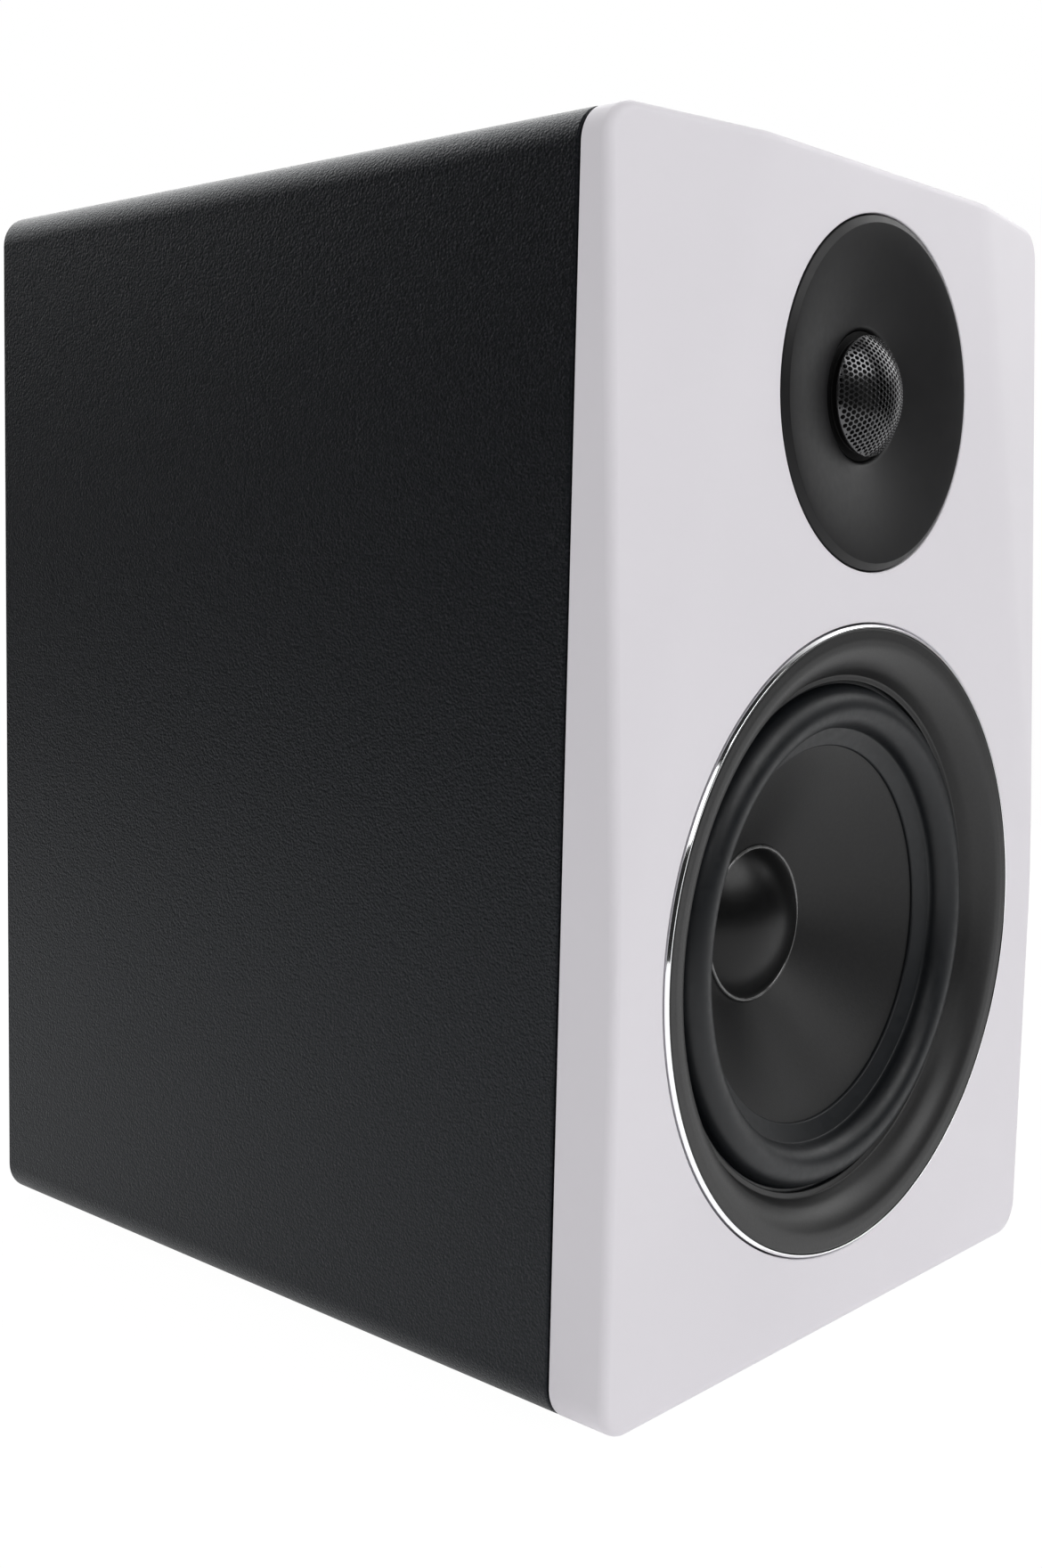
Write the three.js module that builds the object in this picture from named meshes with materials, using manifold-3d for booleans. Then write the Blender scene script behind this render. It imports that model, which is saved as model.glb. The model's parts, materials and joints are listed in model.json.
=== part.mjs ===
// Two-way bookshelf speaker: cabinet, white front baffle, woofer, tweeter, port, terminals and crossover.
// Millimetres, +Z up. The front faces -Y, and the origin is under the middle of the feet.
import * as THREE from 'three';
import { mergeVertices } from 'three/addons/utils/BufferGeometryUtils.js';
import Module from 'manifold-3d';

const wasm = await Module();
wasm.setup();

// ---- driving dimensions ----
const WIDTH = 225;
const BOX_HEIGHT = 335.2;
const DEPTH = 268;
const FOOT_HEIGHT = 2;
const PROUD = 3.8; // the tweeter's mesh dome stands this far in front of the baffle
const REAR = (DEPTH + PROUD) / 2;
const FRONT = REAR - DEPTH; // Y of the baffle's front face
const BOTTOM = FOOT_HEIGHT; // Z of the cabinet's underside
const TOP = BOTTOM + BOX_HEIGHT;
const MIDDLE = BOTTOM + BOX_HEIGHT / 2;
const EDGE_RADIUS = 10.5; // the four long edges of the cabinet and the baffle's corners
const WALL = 15;
const GAP = 0.3; // clearance between neighbouring pieces

const BAFFLE_THICKNESS = 18.6;
const SEAM = 0.6; // shadow gap between baffle and cabinet
const FACET_HALF_TOP = 57.5; // where each corner facet starts on the top edge, from the middle
const FACET_DROP = 215; // how far down the side edge each facet runs
const FACET_RECESS = 10.3; // how far back the facet cuts at the very corner
const INNER_BAFFLE_THICKNESS = 12;

const WOOFER_Z = BOTTOM + 115.7;
const WOOFER_BORE = 92.9;
const WOOFER_SEAT_DEPTH = 13.4; // counterbore that the basket's flange sits in
const WOOFER_CUTOUT = 80.5;
const WOOFER_SCREW_CIRCLE = 85;
const SCREW_SHANK = 2;
const CUP_SCREW_SHANK = 1.4;
const FORMER_RADIUS = 19.25;
const WINDOW_COUNT = 6;

const TWEETER_Z = BOTTOM + 272.7;
const TWEETER_BORE = 49.9;
const TWEETER_SEAT_DEPTH = 13.6;
const TWEETER_CUTOUT = 36;
const TWEETER_SCREW_CIRCLE = 41;

const PANEL_RECESS = 5; // the rear panel sits this far inside the cabinet's back edge
const PANEL_OUTSIDE = REAR - PANEL_RECESS;
const PANEL_THICKNESS = 15;
const PORT_Z = BOTTOM + 245;
const PORT_INNER = 24;
const PORT_OUTER = 26;
const PORT_LENGTH = 116;
const FLARE_RADIUS = 41;
const FLARE_BODY_RADIUS = 33; // behind the flare's flange, where it passes through the rear panel
const FLARE_DEPTH = 12;

const CUP_Z = BOTTOM + 85;
const CUP_RECESS = { width: 64, height: 44, depth: 18 };
const CUP_WALL = 2;
const CUP_FLANGE = { width: 86, height: 66, thickness: 2.2 };
const CUP_SCREWS = { x: 37.5, z: 27.5 }; // from the cup's middle
const POST_OFFSET = 9.5; // half the standard 19 mm between binding posts
const STUD_RADIUS = 2.5;

// Round pieces share one facet count for each size, so that rings inside one another keep their gaps.
const LARGE_ROUND = 36;
const MEDIUM_ROUND = 24;
const SMALL_ROUND = 8;

// ---- materials ----
const finish = (color, roughness, metalness = 0) =>
  new THREE.MeshStandardMaterial({ color, roughness, metalness });
const looks = {
  vinyl: finish(0x26272b, 0.75),
  mdf: finish(0xa98a63, 0.9),
  whiteGloss: finish(0xdcdbdf, 0.15),
  chrome: finish(0xe6e7ea, 0.08, 1),
  satinBlack: finish(0x26272a, 0.45),
  rubber: finish(0x1d2024, 0.6),
  cone: finish(0x1e1e1f, 0.55),
  castMetal: finish(0x3a3b3e, 0.6, 0.6),
  steel: finish(0x9ea2a6, 0.35, 1),
  ferrite: finish(0x33353a, 0.8),
  copper: finish(0xb8693a, 0.35, 1),
  brass: finish(0xc9a24b, 0.3, 1),
  kapton: finish(0xa8722c, 0.5),
  spiderCloth: finish(0xc79a4a, 0.9),
  felt: finish(0x6f7176, 1),
  blackMesh: finish(0x2c2d30, 0.35, 0.8),
  blackPlastic: finish(0x202124, 0.5),
  redPlastic: finish(0xb3201f, 0.4),
  board: finish(0x2f6b3c, 0.6),
  film: finish(0xc9b23c, 0.5),
  darkSteel: finish(0x2b2b2e, 0.4, 1),
};

// ---- solids ----
function toSolid(geometry) {
  const bare = geometry.clone();
  bare.deleteAttribute('normal');
  bare.deleteAttribute('uv');
  const merged = mergeVertices(bare, 1e-4);
  const mesh = new wasm.Mesh({
    numProp: 3,
    vertProperties: new Float32Array(merged.attributes.position.array),
    triVerts: new Uint32Array(merged.index.array),
  });
  mesh.merge();
  return new wasm.Manifold(mesh);
}

function toGeometry(solid) {
  const mesh = solid.getMesh();
  const geometry = new THREE.BufferGeometry();
  geometry.setAttribute('position', new THREE.BufferAttribute(new Float32Array(mesh.vertProperties), 3));
  geometry.setIndex(new THREE.BufferAttribute(new Uint32Array(mesh.triVerts), 1));
  geometry.computeVertexNormals();
  return geometry;
}

const subtract = (geometry, cutters) =>
  toGeometry(cutters.reduce((solid, cutter) => solid.subtract(toSolid(cutter)), toSolid(geometry)));

// A solid of revolution about Y. profile is a list of [radius, depth behind the front face]. It either
// starts and ends on the axis or closes on itself, and is turned round where needed so that faces point out.
function turned(profile, segments, z, { x = 0, from = FRONT } = {}) {
  const onAxis = profile[0][0] === 0 && profile.at(-1)[0] === 0;
  const loop = profile.map(([radius, depth]) => new THREE.Vector2(radius, from + depth));
  const area = THREE.ShapeUtils.area(loop);
  if (area < 0) loop.reverse();
  if (!onAxis) loop.push(loop[0].clone());
  const geometry = new THREE.LatheGeometry(loop, segments);
  geometry.translate(x, 0, z);
  return geometry;
}

const disc = (radius, start, end, segments, z, place) =>
  turned([[0, start], [radius, start], [radius, end], [0, end]], segments, z, place);

const ring = (inner, outer, start, end, segments, z, place) =>
  turned([[inner, start], [outer, start], [outer, end], [inner, end]], segments, z, place);

function box(width, depth, height, x, y, z) {
  const geometry = new THREE.BoxGeometry(width, depth, height);
  geometry.translate(x, y, z);
  return geometry;
}

// A rounded rectangle in the XZ plane, centred on the origin. Its corners have a few steps each.
function roundedOutline(width, height, radius) {
  const [w, h] = [width / 2, height / 2];
  const shape = new THREE.Shape();
  shape.moveTo(w - radius, -h);
  shape.absarc(w - radius, radius - h, radius, -Math.PI / 2, 0);
  shape.absarc(w - radius, h - radius, radius, 0, Math.PI / 2);
  shape.absarc(radius - w, h - radius, radius, Math.PI / 2, Math.PI);
  shape.absarc(radius - w, radius - h, radius, Math.PI, 1.5 * Math.PI);
  return shape;
}

// Extrudes an outline drawn in XZ from y = start to y = end, centred on x = 0 and the given height.
function plate(shape, start, end, z, { curveSegments = 5, bevel = 0 } = {}) {
  const geometry = new THREE.ExtrudeGeometry(shape, {
    depth: end - start - 2 * bevel,
    curveSegments,
    bevelEnabled: bevel > 0,
    bevelThickness: bevel,
    bevelSize: bevel,
    bevelOffset: -bevel,
    bevelSegments: 1,
  });
  geometry.rotateX(Math.PI / 2);
  geometry.translate(0, end - bevel, z);
  return geometry;
}

function tubeAlong(points, radius, steps) {
  const circle = new THREE.Shape();
  circle.absarc(0, 0, radius, 0, 2 * Math.PI);
  const path = new THREE.CatmullRomCurve3(points.map((p) => new THREE.Vector3(...p)));
  return new THREE.ExtrudeGeometry(circle, { extrudePath: path, steps, curveSegments: 2, bevelEnabled: false });
}

// ---- assembly ----
const speaker = new THREE.Group();
speaker.name = 'bookshelf_speaker';

function add(name, geometry, material) {
  const mesh = new THREE.Mesh(geometry, material);
  mesh.name = name;
  speaker.add(mesh);
  return mesh;
}

// ---- cabinet ----
const BOX_FRONT = FRONT + BAFFLE_THICKNESS + SEAM;
const INNER_WIDTH = WIDTH - 2 * WALL;
const INNER_HEIGHT = BOX_HEIGHT - 2 * WALL;

function cabinetShell() {
  const outline = roundedOutline(WIDTH, BOX_HEIGHT, EDGE_RADIUS);
  outline.holes.push(roundedOutline(INNER_WIDTH, INNER_HEIGHT, 1));
  return plate(outline, BOX_FRONT, REAR, MIDDLE);
}

function innerBaffle() {
  const panel = plate(
    roundedOutline(INNER_WIDTH - 2 * GAP, INNER_HEIGHT - 2 * GAP, 1),
    BOX_FRONT,
    BOX_FRONT + INNER_BAFFLE_THICKNESS,
    MIDDLE,
    { curveSegments: 1 },
  );
  const start = BOX_FRONT - FRONT - 1;
  const end = start + INNER_BAFFLE_THICKNESS + 2;
  return subtract(panel, [
    disc(WOOFER_CUTOUT, start, end, LARGE_ROUND, WOOFER_Z),
    disc(TWEETER_CUTOUT, start, end, MEDIUM_ROUND, TWEETER_Z),
    ...screwPlaces(4, WOOFER_SCREW_CIRCLE, WOOFER_Z, Math.PI / 4).map(([x, z]) =>
      disc(SCREW_SHANK + GAP, start, end, SMALL_ROUND, z, { x })),
  ]);
}

// A slanted facet that takes off one top corner of the baffle: everything in front of the plane through
// a point on the top edge, a point down the side edge and the recessed corner.
function facetCutter(side) {
  const corner = new THREE.Vector3(side * WIDTH / 2, FRONT + FACET_RECESS, TOP);
  const onTop = new THREE.Vector3(side * FACET_HALF_TOP, FRONT, TOP);
  const onSide = new THREE.Vector3(side * WIDTH / 2, FRONT, TOP - FACET_DROP);
  const along = onSide.clone().sub(onTop).normalize();
  const outward = corner.clone().sub(onTop);
  outward.addScaledVector(along, -outward.dot(along)).normalize();
  const normal = along.clone().cross(outward).normalize();
  if (normal.y > 0) normal.negate();
  const reach = 400;
  const block = new THREE.BoxGeometry(reach, reach, reach);
  block.translate(0, 0, reach / 2);
  const frame = new THREE.Matrix4().makeBasis(along, normal.clone().cross(along), normal);
  frame.setPosition(onTop);
  block.applyMatrix4(frame);
  return block;
}

function screwPlaces(count, radius, z, turn) {
  return Array.from({ length: count }, (_, i) => {
    const angle = turn + (2 * Math.PI * i) / count;
    return [radius * Math.cos(angle), z + radius * Math.sin(angle)];
  });
}

function frontBaffle() {
  const outline = roundedOutline(WIDTH, BOX_HEIGHT, EDGE_RADIUS);
  const panel = plate(outline, FRONT, FRONT + BAFFLE_THICKNESS, MIDDLE);
  const edge = BAFFLE_THICKNESS + 1;
  return subtract(panel, [
    facetCutter(1),
    facetCutter(-1),
    disc(WOOFER_BORE, -2, WOOFER_SEAT_DEPTH, LARGE_ROUND, WOOFER_Z),
    disc(WOOFER_CUTOUT, 0, edge, LARGE_ROUND, WOOFER_Z),
    disc(TWEETER_BORE, -2, TWEETER_SEAT_DEPTH, MEDIUM_ROUND, TWEETER_Z),
    disc(TWEETER_CUTOUT, 0, edge, MEDIUM_ROUND, TWEETER_Z),
    ...screwPlaces(4, WOOFER_SCREW_CIRCLE, WOOFER_Z, Math.PI / 4).map(([x, z]) =>
      disc(SCREW_SHANK + GAP, 0, edge, SMALL_ROUND, z, { x })),
    ...screwPlaces(3, TWEETER_SCREW_CIRCLE, TWEETER_Z, Math.PI / 2).map(([x, z]) =>
      disc(SCREW_SHANK + GAP, 0, BAFFLE_THICKNESS - 1.1, SMALL_ROUND, z, { x })),
  ]);
}

// A plate's cutter: a straight hole along Y between two Y values.
const drilled = (radius, start, end, x, z) => disc(radius, start, end, SMALL_ROUND, z, { x, from: 0 });

const cupScrewPlaces = [-1, 1].flatMap((sideX) =>
  [-1, 1].map((sideZ) => [sideX * CUP_SCREWS.x, CUP_Z + sideZ * CUP_SCREWS.z]));

function rearPanel() {
  const inside = PANEL_OUTSIDE - PANEL_THICKNESS;
  const middle = (inside + PANEL_OUTSIDE) / 2;
  const panel = box(INNER_WIDTH - 2 * GAP, PANEL_THICKNESS, INNER_HEIGHT - 2 * GAP, 0, middle, MIDDLE);
  const cupWidth = CUP_RECESS.width + 2 * (CUP_WALL + GAP);
  const cupHeight = CUP_RECESS.height + 2 * (CUP_WALL + GAP);
  return subtract(panel, [
    disc(FLARE_BODY_RADIUS + GAP, inside - 1, PANEL_OUTSIDE + 1, MEDIUM_ROUND, PORT_Z, { from: 0 }),
    box(cupWidth, PANEL_THICKNESS + 2, cupHeight, 0, middle, CUP_Z),
    ...cupScrewPlaces.map(([x, z]) => drilled(CUP_SCREW_SHANK + GAP, inside - 1, REAR, x, z)),
  ]);
}

// A stiffening frame between the side, top and bottom walls, with two windows.
function windowBrace() {
  const border = 24;
  const outline = roundedOutline(INNER_WIDTH - 2 * GAP, INNER_HEIGHT - 2 * GAP, 1);
  const windowWidth = INNER_WIDTH - 2 * border;
  const windowHeight = (INNER_HEIGHT - 3 * border) / 2;
  for (const side of [-1, 1]) {
    const hole = new THREE.Path();
    const middle = side * (windowHeight + border) / 2;
    hole.moveTo(-windowWidth / 2, middle - windowHeight / 2);
    hole.lineTo(windowWidth / 2, middle - windowHeight / 2);
    hole.lineTo(windowWidth / 2, middle + windowHeight / 2);
    hole.lineTo(-windowWidth / 2, middle + windowHeight / 2);
    outline.holes.push(hole);
  }
  const start = FRONT + 105;
  return plate(outline, start, start + 12, MIDDLE, { curveSegments: 1 });
}

function addCabinet() {
  add('cabinet_shell', cabinetShell(), looks.vinyl);
  add('inner_baffle', innerBaffle(), looks.mdf);
  add('front_baffle', frontBaffle(), looks.whiteGloss);
  add('rear_panel', rearPanel(), looks.vinyl);
  add('window_brace', windowBrace(), looks.mdf);

  const pad = { thickness: 10, depth: 110, height: 240 };
  for (const [name, side] of [['left', -1], ['right', 1]]) {
    const x = side * (INNER_WIDTH / 2 - GAP - pad.thickness / 2);
    add(`damping_pad_${name}`, box(pad.thickness, pad.depth, pad.height, x, 50, MIDDLE), looks.felt);
  }

  const foot = { radius: 9, inset: 20, height: FOOT_HEIGHT - GAP };
  for (const [end, y] of [['front', BOX_FRONT + foot.inset], ['rear', REAR - foot.inset]]) {
    for (const [name, side] of [['left', -1], ['right', 1]]) {
      const disk = new THREE.CylinderGeometry(foot.radius, foot.radius, foot.height, 16);
      disk.rotateX(Math.PI / 2);
      disk.translate(side * (WIDTH / 2 - foot.inset), y, foot.height / 2);
      add(`foot_${end}_${name}`, disk, looks.rubber);
    }
  }
}

// ---- woofer: outlines are [radius, depth behind the baffle's face] ----
const arc = (middle, depth, radius, from, to, steps) =>
  Array.from({ length: steps + 1 }, (_, i) => {
    const angle = from + ((to - from) * i) / steps;
    return [middle + radius * Math.cos(angle), depth - radius * Math.sin(angle)];
  });

function wooferBasket() {
  const outline = [
    [92, 9.4], [80.9, 9.4], [80.9, 11], [75, 11], [73.5, 14.5], // flange and surround landing
    [56.8, 44], [56.8, 46.5], [49, 46.5], [46.5, 55], // inner wall and spider shelf
    [22, 55], [22, 58], [50, 58], [52.5, 50], [59.8, 48.5], // bottom
    [77.6, 16], [77.6, 13.1], [92, 13.1],
  ];
  const windows = Array.from({ length: WINDOW_COUNT }, (_, i) => {
    const cutter = new THREE.BoxGeometry(38, 22, 60);
    cutter.translate(0, FRONT + 31, 75);
    cutter.rotateY(((i + 0.5) * 2 * Math.PI) / WINDOW_COUNT);
    cutter.translate(0, 0, WOOFER_Z);
    return cutter;
  });
  const holes = screwPlaces(4, WOOFER_SCREW_CIRCLE, WOOFER_Z, Math.PI / 4).map(([x, z]) =>
    disc(SCREW_SHANK + GAP, 5, 20, SMALL_ROUND, z, { x }));
  return subtract(turned(outline, LARGE_ROUND, WOOFER_Z), [...windows, ...holes]);
}

// Half-roll of rubber between a clamped outer lip and a conical inner land that is glued to the cone.
function wooferSurround() {
  const roll = { middle: 68.2, depth: 10.2, radius: 6.2, thickness: 0.9 };
  const front = arc(roll.middle, roll.depth, roll.radius, 0, Math.PI, 5);
  const back = arc(roll.middle, roll.depth + 0.2, roll.radius - roll.thickness, Math.PI, 0, 5);
  return turned(
    [[80.2, 9.7], ...front, [61.4, 11], [56.3, 13.4], [56.3, 14.1], [61.4, 11.9], ...back, [74.6, 10.6], [80.2, 10.6]],
    LARGE_ROUND,
    WOOFER_Z,
  );
}

// Corrugated ring that centres the coil former in the gap.
function wooferSpider() {
  const [inner, outer, start] = [19.6, 55.5, 45.2];
  const bends = 6;
  const wave = (offset) => Array.from({ length: bends + 1 }, (_, i) => [
    inner + ((outer - inner) * i) / bends,
    start + offset + (i > 0 && i < bends ? (i % 2 ? -1.2 : 0.2) : 0),
  ]);
  return turned([...wave(0), ...wave(0.8).reverse()], MEDIUM_ROUND, WOOFER_Z);
}

function dustCap() {
  const [radius, base, height, thickness] = [23.3, 36, 9, 0.8];
  const curve = (radius ** 2 + height ** 2) / (2 * height);
  const spread = Math.asin(radius / curve);
  const steps = 5;
  const cap = (shrink) => Array.from({ length: steps + 1 }, (_, i) => {
    const angle = (spread * i) / steps;
    return [(curve - shrink) * Math.sin(angle), base - height + curve - (curve - shrink) * Math.cos(angle)];
  });
  return turned([...cap(0), ...cap(thickness).reverse()], LARGE_ROUND, WOOFER_Z);
}

function addWoofer() {
  const large = (name, outline, material) => add(name, turned(outline, LARGE_ROUND, WOOFER_Z), material);
  const medium = (name, outline, material) => add(name, turned(outline, MEDIUM_ROUND, WOOFER_Z), material);

  large('chrome_ring', [
    [90.6, 9.1], [92.4, 9.1], [92.4, -0.1], [91.9, -0.7], [91.1, -0.7], [90.6, -0.2],
  ], looks.chrome);
  large('woofer_trim_ring', [
    [90.2, 9.1], [90.2, 0.2], [89.6, -0.4], [87.5, -0.6], [85, -0.1], [82.2, 1.6], // rim and dish
    [79.8, 4.2], [78.2, 7], [77.4, 8.3], [75.7, 8.5], [75.7, 9.2], [79.8, 9.2], // inner lip
    [80.6, 6.3], [88.9, 6.3], [88.9, 9.1], // room for the screw heads
  ], looks.satinBlack);
  add('woofer_basket', wooferBasket(), looks.castMetal);
  add('woofer_surround', wooferSurround(), looks.rubber);
  large('woofer_cone', [
    [61.2, 12.3], [56.3, 14.4], [45, 21.9], [34, 29.4], [24, 36.2], [19.6, 39.4],
    [19.6, 40.8], [24, 37.4], [34, 30.6], [45, 23.1], [56.3, 15.6], [61.2, 13.4],
  ], looks.cone);
  add('woofer_dust_cap', dustCap(), looks.cone);
  add('woofer_coil_former', ring(FORMER_RADIUS - 0.4, FORMER_RADIUS, 37.5, 68, MEDIUM_ROUND, WOOFER_Z), looks.kapton);
  add('woofer_voice_coil', ring(FORMER_RADIUS + GAP, 20.3, 54.9, 67.9, MEDIUM_ROUND, WOOFER_Z), looks.copper);
  add('woofer_spider', wooferSpider(), looks.spiderCloth);
  add('woofer_top_plate', ring(21, 46, 58.4, 64.4, MEDIUM_ROUND, WOOFER_Z), looks.steel);
  add('woofer_magnet', ring(27, 50, 64.8, 82.8, MEDIUM_ROUND, WOOFER_Z), looks.ferrite);
  medium('woofer_yoke', [
    [5, 58.4], [18.1, 58.4], [18.1, 83.2], [46, 83.2], [46, 87.2], [43, 89.2], [5, 89.2],
  ], looks.steel);

  screwPlaces(4, WOOFER_SCREW_CIRCLE, WOOFER_Z, Math.PI / 4).forEach(([x, z], i) => {
    const outline = [
      [0, 6.7], [2.6, 6.7], [3.5, 7.8], [3.5, 9.1], [SCREW_SHANK, 9.1], [SCREW_SHANK, 27], [0, 30],
    ];
    add(`woofer_screw_${i + 1}`, turned(outline, SMALL_ROUND, z, { x }), looks.darkSteel);
  });
}

// ---- tweeter ----
function tweeterWaveguide() {
  const rim = { radius: 47.3, depth: -1.1 };
  const throat = { radius: 18.5, depth: 5.2 };
  const steps = 6;
  const dish = Array.from({ length: steps + 1 }, (_, i) => {
    const share = i / steps;
    return [
      rim.radius + (throat.radius - rim.radius) * share,
      rim.depth + (throat.depth - rim.depth) * share ** 1.5,
    ];
  });
  return turned([
    [49.4, 13.2], [49.4, 0.1], ...dish, [18.5, 10], [20.5, 10], // rim, dish and throat
    [20.5, 8.8], [26, 7.4], [34, 4.4], [46.6, 2.4], [46.6, 13.2], // back
  ], MEDIUM_ROUND, TWEETER_Z);
}

// Dome guard: a part of a sphere with an undercut edge, on a skirt whose foot sits in the throat.
function tweeterMesh() {
  const [curve, apex, edge, thickness] = [24.4, -PROUD, 17, 0.5];
  const [skirt, foot] = [15.8, 18.2];
  const dome = (radius, end) => Array.from({ length: 6 }, (_, i) => {
    const angle = (Math.asin(end / radius) * i) / 5;
    return [radius * Math.sin(angle), apex + curve - radius * Math.cos(angle)];
  });
  return turned([
    ...dome(curve, edge), [skirt, 3.6], [skirt, 5.9], [foot, 5.9], [foot, 6.4], [skirt - thickness, 6.4],
    ...dome(curve - thickness, skirt - thickness).reverse(),
  ], MEDIUM_ROUND, TWEETER_Z);
}

function tweeterChassis() {
  const plateRing = ring(13.9, 46.2, 10.4, 13.3, MEDIUM_ROUND, TWEETER_Z);
  return subtract(plateRing, screwPlaces(3, TWEETER_SCREW_CIRCLE, TWEETER_Z, Math.PI / 2).map(([x, z]) =>
    disc(SCREW_SHANK + GAP, 5, 18, SMALL_ROUND, z, { x })));
}

function addTweeter() {
  const medium = (name, outline, material) => add(name, turned(outline, MEDIUM_ROUND, TWEETER_Z), material);

  add('tweeter_waveguide', tweeterWaveguide(), looks.satinBlack);
  add('tweeter_mesh', tweeterMesh(), looks.blackMesh);
  add('tweeter_chassis', tweeterChassis(), looks.blackPlastic);
  medium('tweeter_surround', [
    [13.1, 9.3], [13.5, 8.7], [14.2, 8.4], [14.9, 8.7], [15.3, 9.5], [16.4, 9.6], [16.4, 10.1],
    [15, 10.1], [14.7, 9.3], [14.2, 9], [13.7, 9.3], [13.6, 9.9], [13.1, 9.9],
  ], looks.rubber);
  medium('tweeter_dome', [
    [0, 4.6], [4.4, 5.1], [8.6, 6.7], [12.7, 9.5], [12.3, 9.8], [8.4, 7.2], [4.3, 5.6], [0, 5.1],
  ], looks.blackPlastic);
  add('tweeter_voice_coil', ring(12.5, 13.1, 10.2, 17, MEDIUM_ROUND, TWEETER_Z), looks.copper);
  add('tweeter_top_plate', ring(13.6, 33, 13.6, 16.6, MEDIUM_ROUND, TWEETER_Z), looks.steel);
  add('tweeter_magnet', ring(20, 34, 16.9, 26.9, MEDIUM_ROUND, TWEETER_Z), looks.ferrite);
  medium('tweeter_yoke', [[0, 13.6], [12.1, 13.6], [12.1, 27.2], [33.5, 27.2], [33.5, 31.2], [0, 31.2]], looks.steel);
  medium('tweeter_rear_cup', [
    [0, 46], [31.5, 46], [31.5, 31.5], [34, 31.5], [34, 46.5], [32.5, 48], [0, 48],
  ], looks.blackPlastic);

  screwPlaces(3, TWEETER_SCREW_CIRCLE, TWEETER_Z, Math.PI / 2).forEach(([x, z], i) => {
    const outline = [
      [0, 7.8], [2.6, 7.8], [3.5, 8.8], [3.5, 10.1], [SCREW_SHANK, 10.1], [SCREW_SHANK, 15.5], [0, 17],
    ];
    add(`tweeter_screw_${i + 1}`, turned(outline, SMALL_ROUND, z, { x }), looks.darkSteel);
  });
}

// ---- port and terminals: depths are from the rear panel's outer face, negative going inside ----
function terminalCup() {
  const { width, height, depth } = CUP_RECESS;
  const flange = plate(
    roundedOutline(CUP_FLANGE.width, CUP_FLANGE.height, 6),
    PANEL_OUTSIDE + GAP,
    PANEL_OUTSIDE + GAP + CUP_FLANGE.thickness,
    CUP_Z,
    { curveSegments: 3 },
  );
  const body = box(
    width + 2 * CUP_WALL, depth + CUP_WALL + 1, height + 2 * CUP_WALL,
    0, PANEL_OUTSIDE - (depth + CUP_WALL - 1) / 2, CUP_Z,
  );
  const hollow = box(width, depth + 10, height, 0, PANEL_OUTSIDE - depth + (depth + 10) / 2, CUP_Z);
  const floor = PANEL_OUTSIDE - depth;
  const holes = [-1, 1].map((side) =>
    drilled(STUD_RADIUS + GAP, floor - 10, floor + 10, side * POST_OFFSET, CUP_Z));
  const screwHoles = cupScrewPlaces.map(([x, z]) => drilled(CUP_SCREW_SHANK + GAP, PANEL_OUTSIDE - 5, REAR, x, z));
  const joined = toGeometry(toSolid(flange).add(toSolid(body)));
  return subtract(joined, [hollow, ...holes, ...screwHoles]);
}

function addBindingPost(colour, side, capLook) {
  const place = { x: side * POST_OFFSET, from: PANEL_OUTSIDE - CUP_RECESS.depth };
  const piece = (name, outline, segments, material) =>
    add(`${colour}_${name}`, turned(outline, segments, CUP_Z, place), material);
  piece('post_stud', [
    [0, -9], [STUD_RADIUS, -9], [STUD_RADIUS, GAP], [5.5, GAP], [5.5, 3], [STUD_RADIUS, 3],
    [STUD_RADIUS, 16.5], [2, 17], [0, 17],
  ], SMALL_ROUND, looks.brass);
  piece('post_washer', [[2.9, 3.3], [5.4, 3.3], [5.4, 4.3], [2.9, 4.3]], SMALL_ROUND, looks.brass);
  piece('post_cap', [
    [2.9, 4.6], [5.4, 4.6], [5.9, 5.6], [5.9, 18.6], [5.1, 19.6], [2.2, 19.6], [2.2, 17.8], [2.9, 17.8],
  ], 12, capLook);
}

function addRear() {
  const place = { from: PANEL_OUTSIDE };
  add('port_flare', turned([
    [PORT_OUTER + 1, -FLARE_DEPTH], [28, -9], [FLARE_BODY_RADIUS, -1.8], [FLARE_BODY_RADIUS, GAP], // back
    [FLARE_RADIUS, GAP], [FLARE_RADIUS, 1.8], [40, 2.6], [36.5, 2.6], // flange
    [33, 1.4], [29.2, -1.2], [26.4, -4.6], [24.8, -8.5], [24.3, -FLARE_DEPTH], // mouth
  ], MEDIUM_ROUND, PORT_Z, place), looks.satinBlack);
  const tubeEnd = -FLARE_DEPTH - GAP;
  add('port_tube', ring(PORT_INNER, PORT_OUTER, tubeEnd - PORT_LENGTH, tubeEnd, MEDIUM_ROUND, PORT_Z, place),
    looks.blackPlastic);

  add('terminal_cup', terminalCup(), looks.satinBlack);
  const face = GAP + CUP_FLANGE.thickness + GAP;
  cupScrewPlaces.forEach(([x, z], i) => {
    const outline = [
      [0, -11], [CUP_SCREW_SHANK, -9], [CUP_SCREW_SHANK, face], [2.9, face], [2.9, face + 0.8],
      [1.8, face + 1.7], [0, face + 1.7],
    ];
    add(`terminal_screw_${i + 1}`, turned(outline, SMALL_ROUND, z, { x, from: PANEL_OUTSIDE }), looks.darkSteel);
  });
  addBindingPost('black', -1, looks.blackPlastic);
  addBindingPost('red', 1, looks.redPlastic);
}

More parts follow.
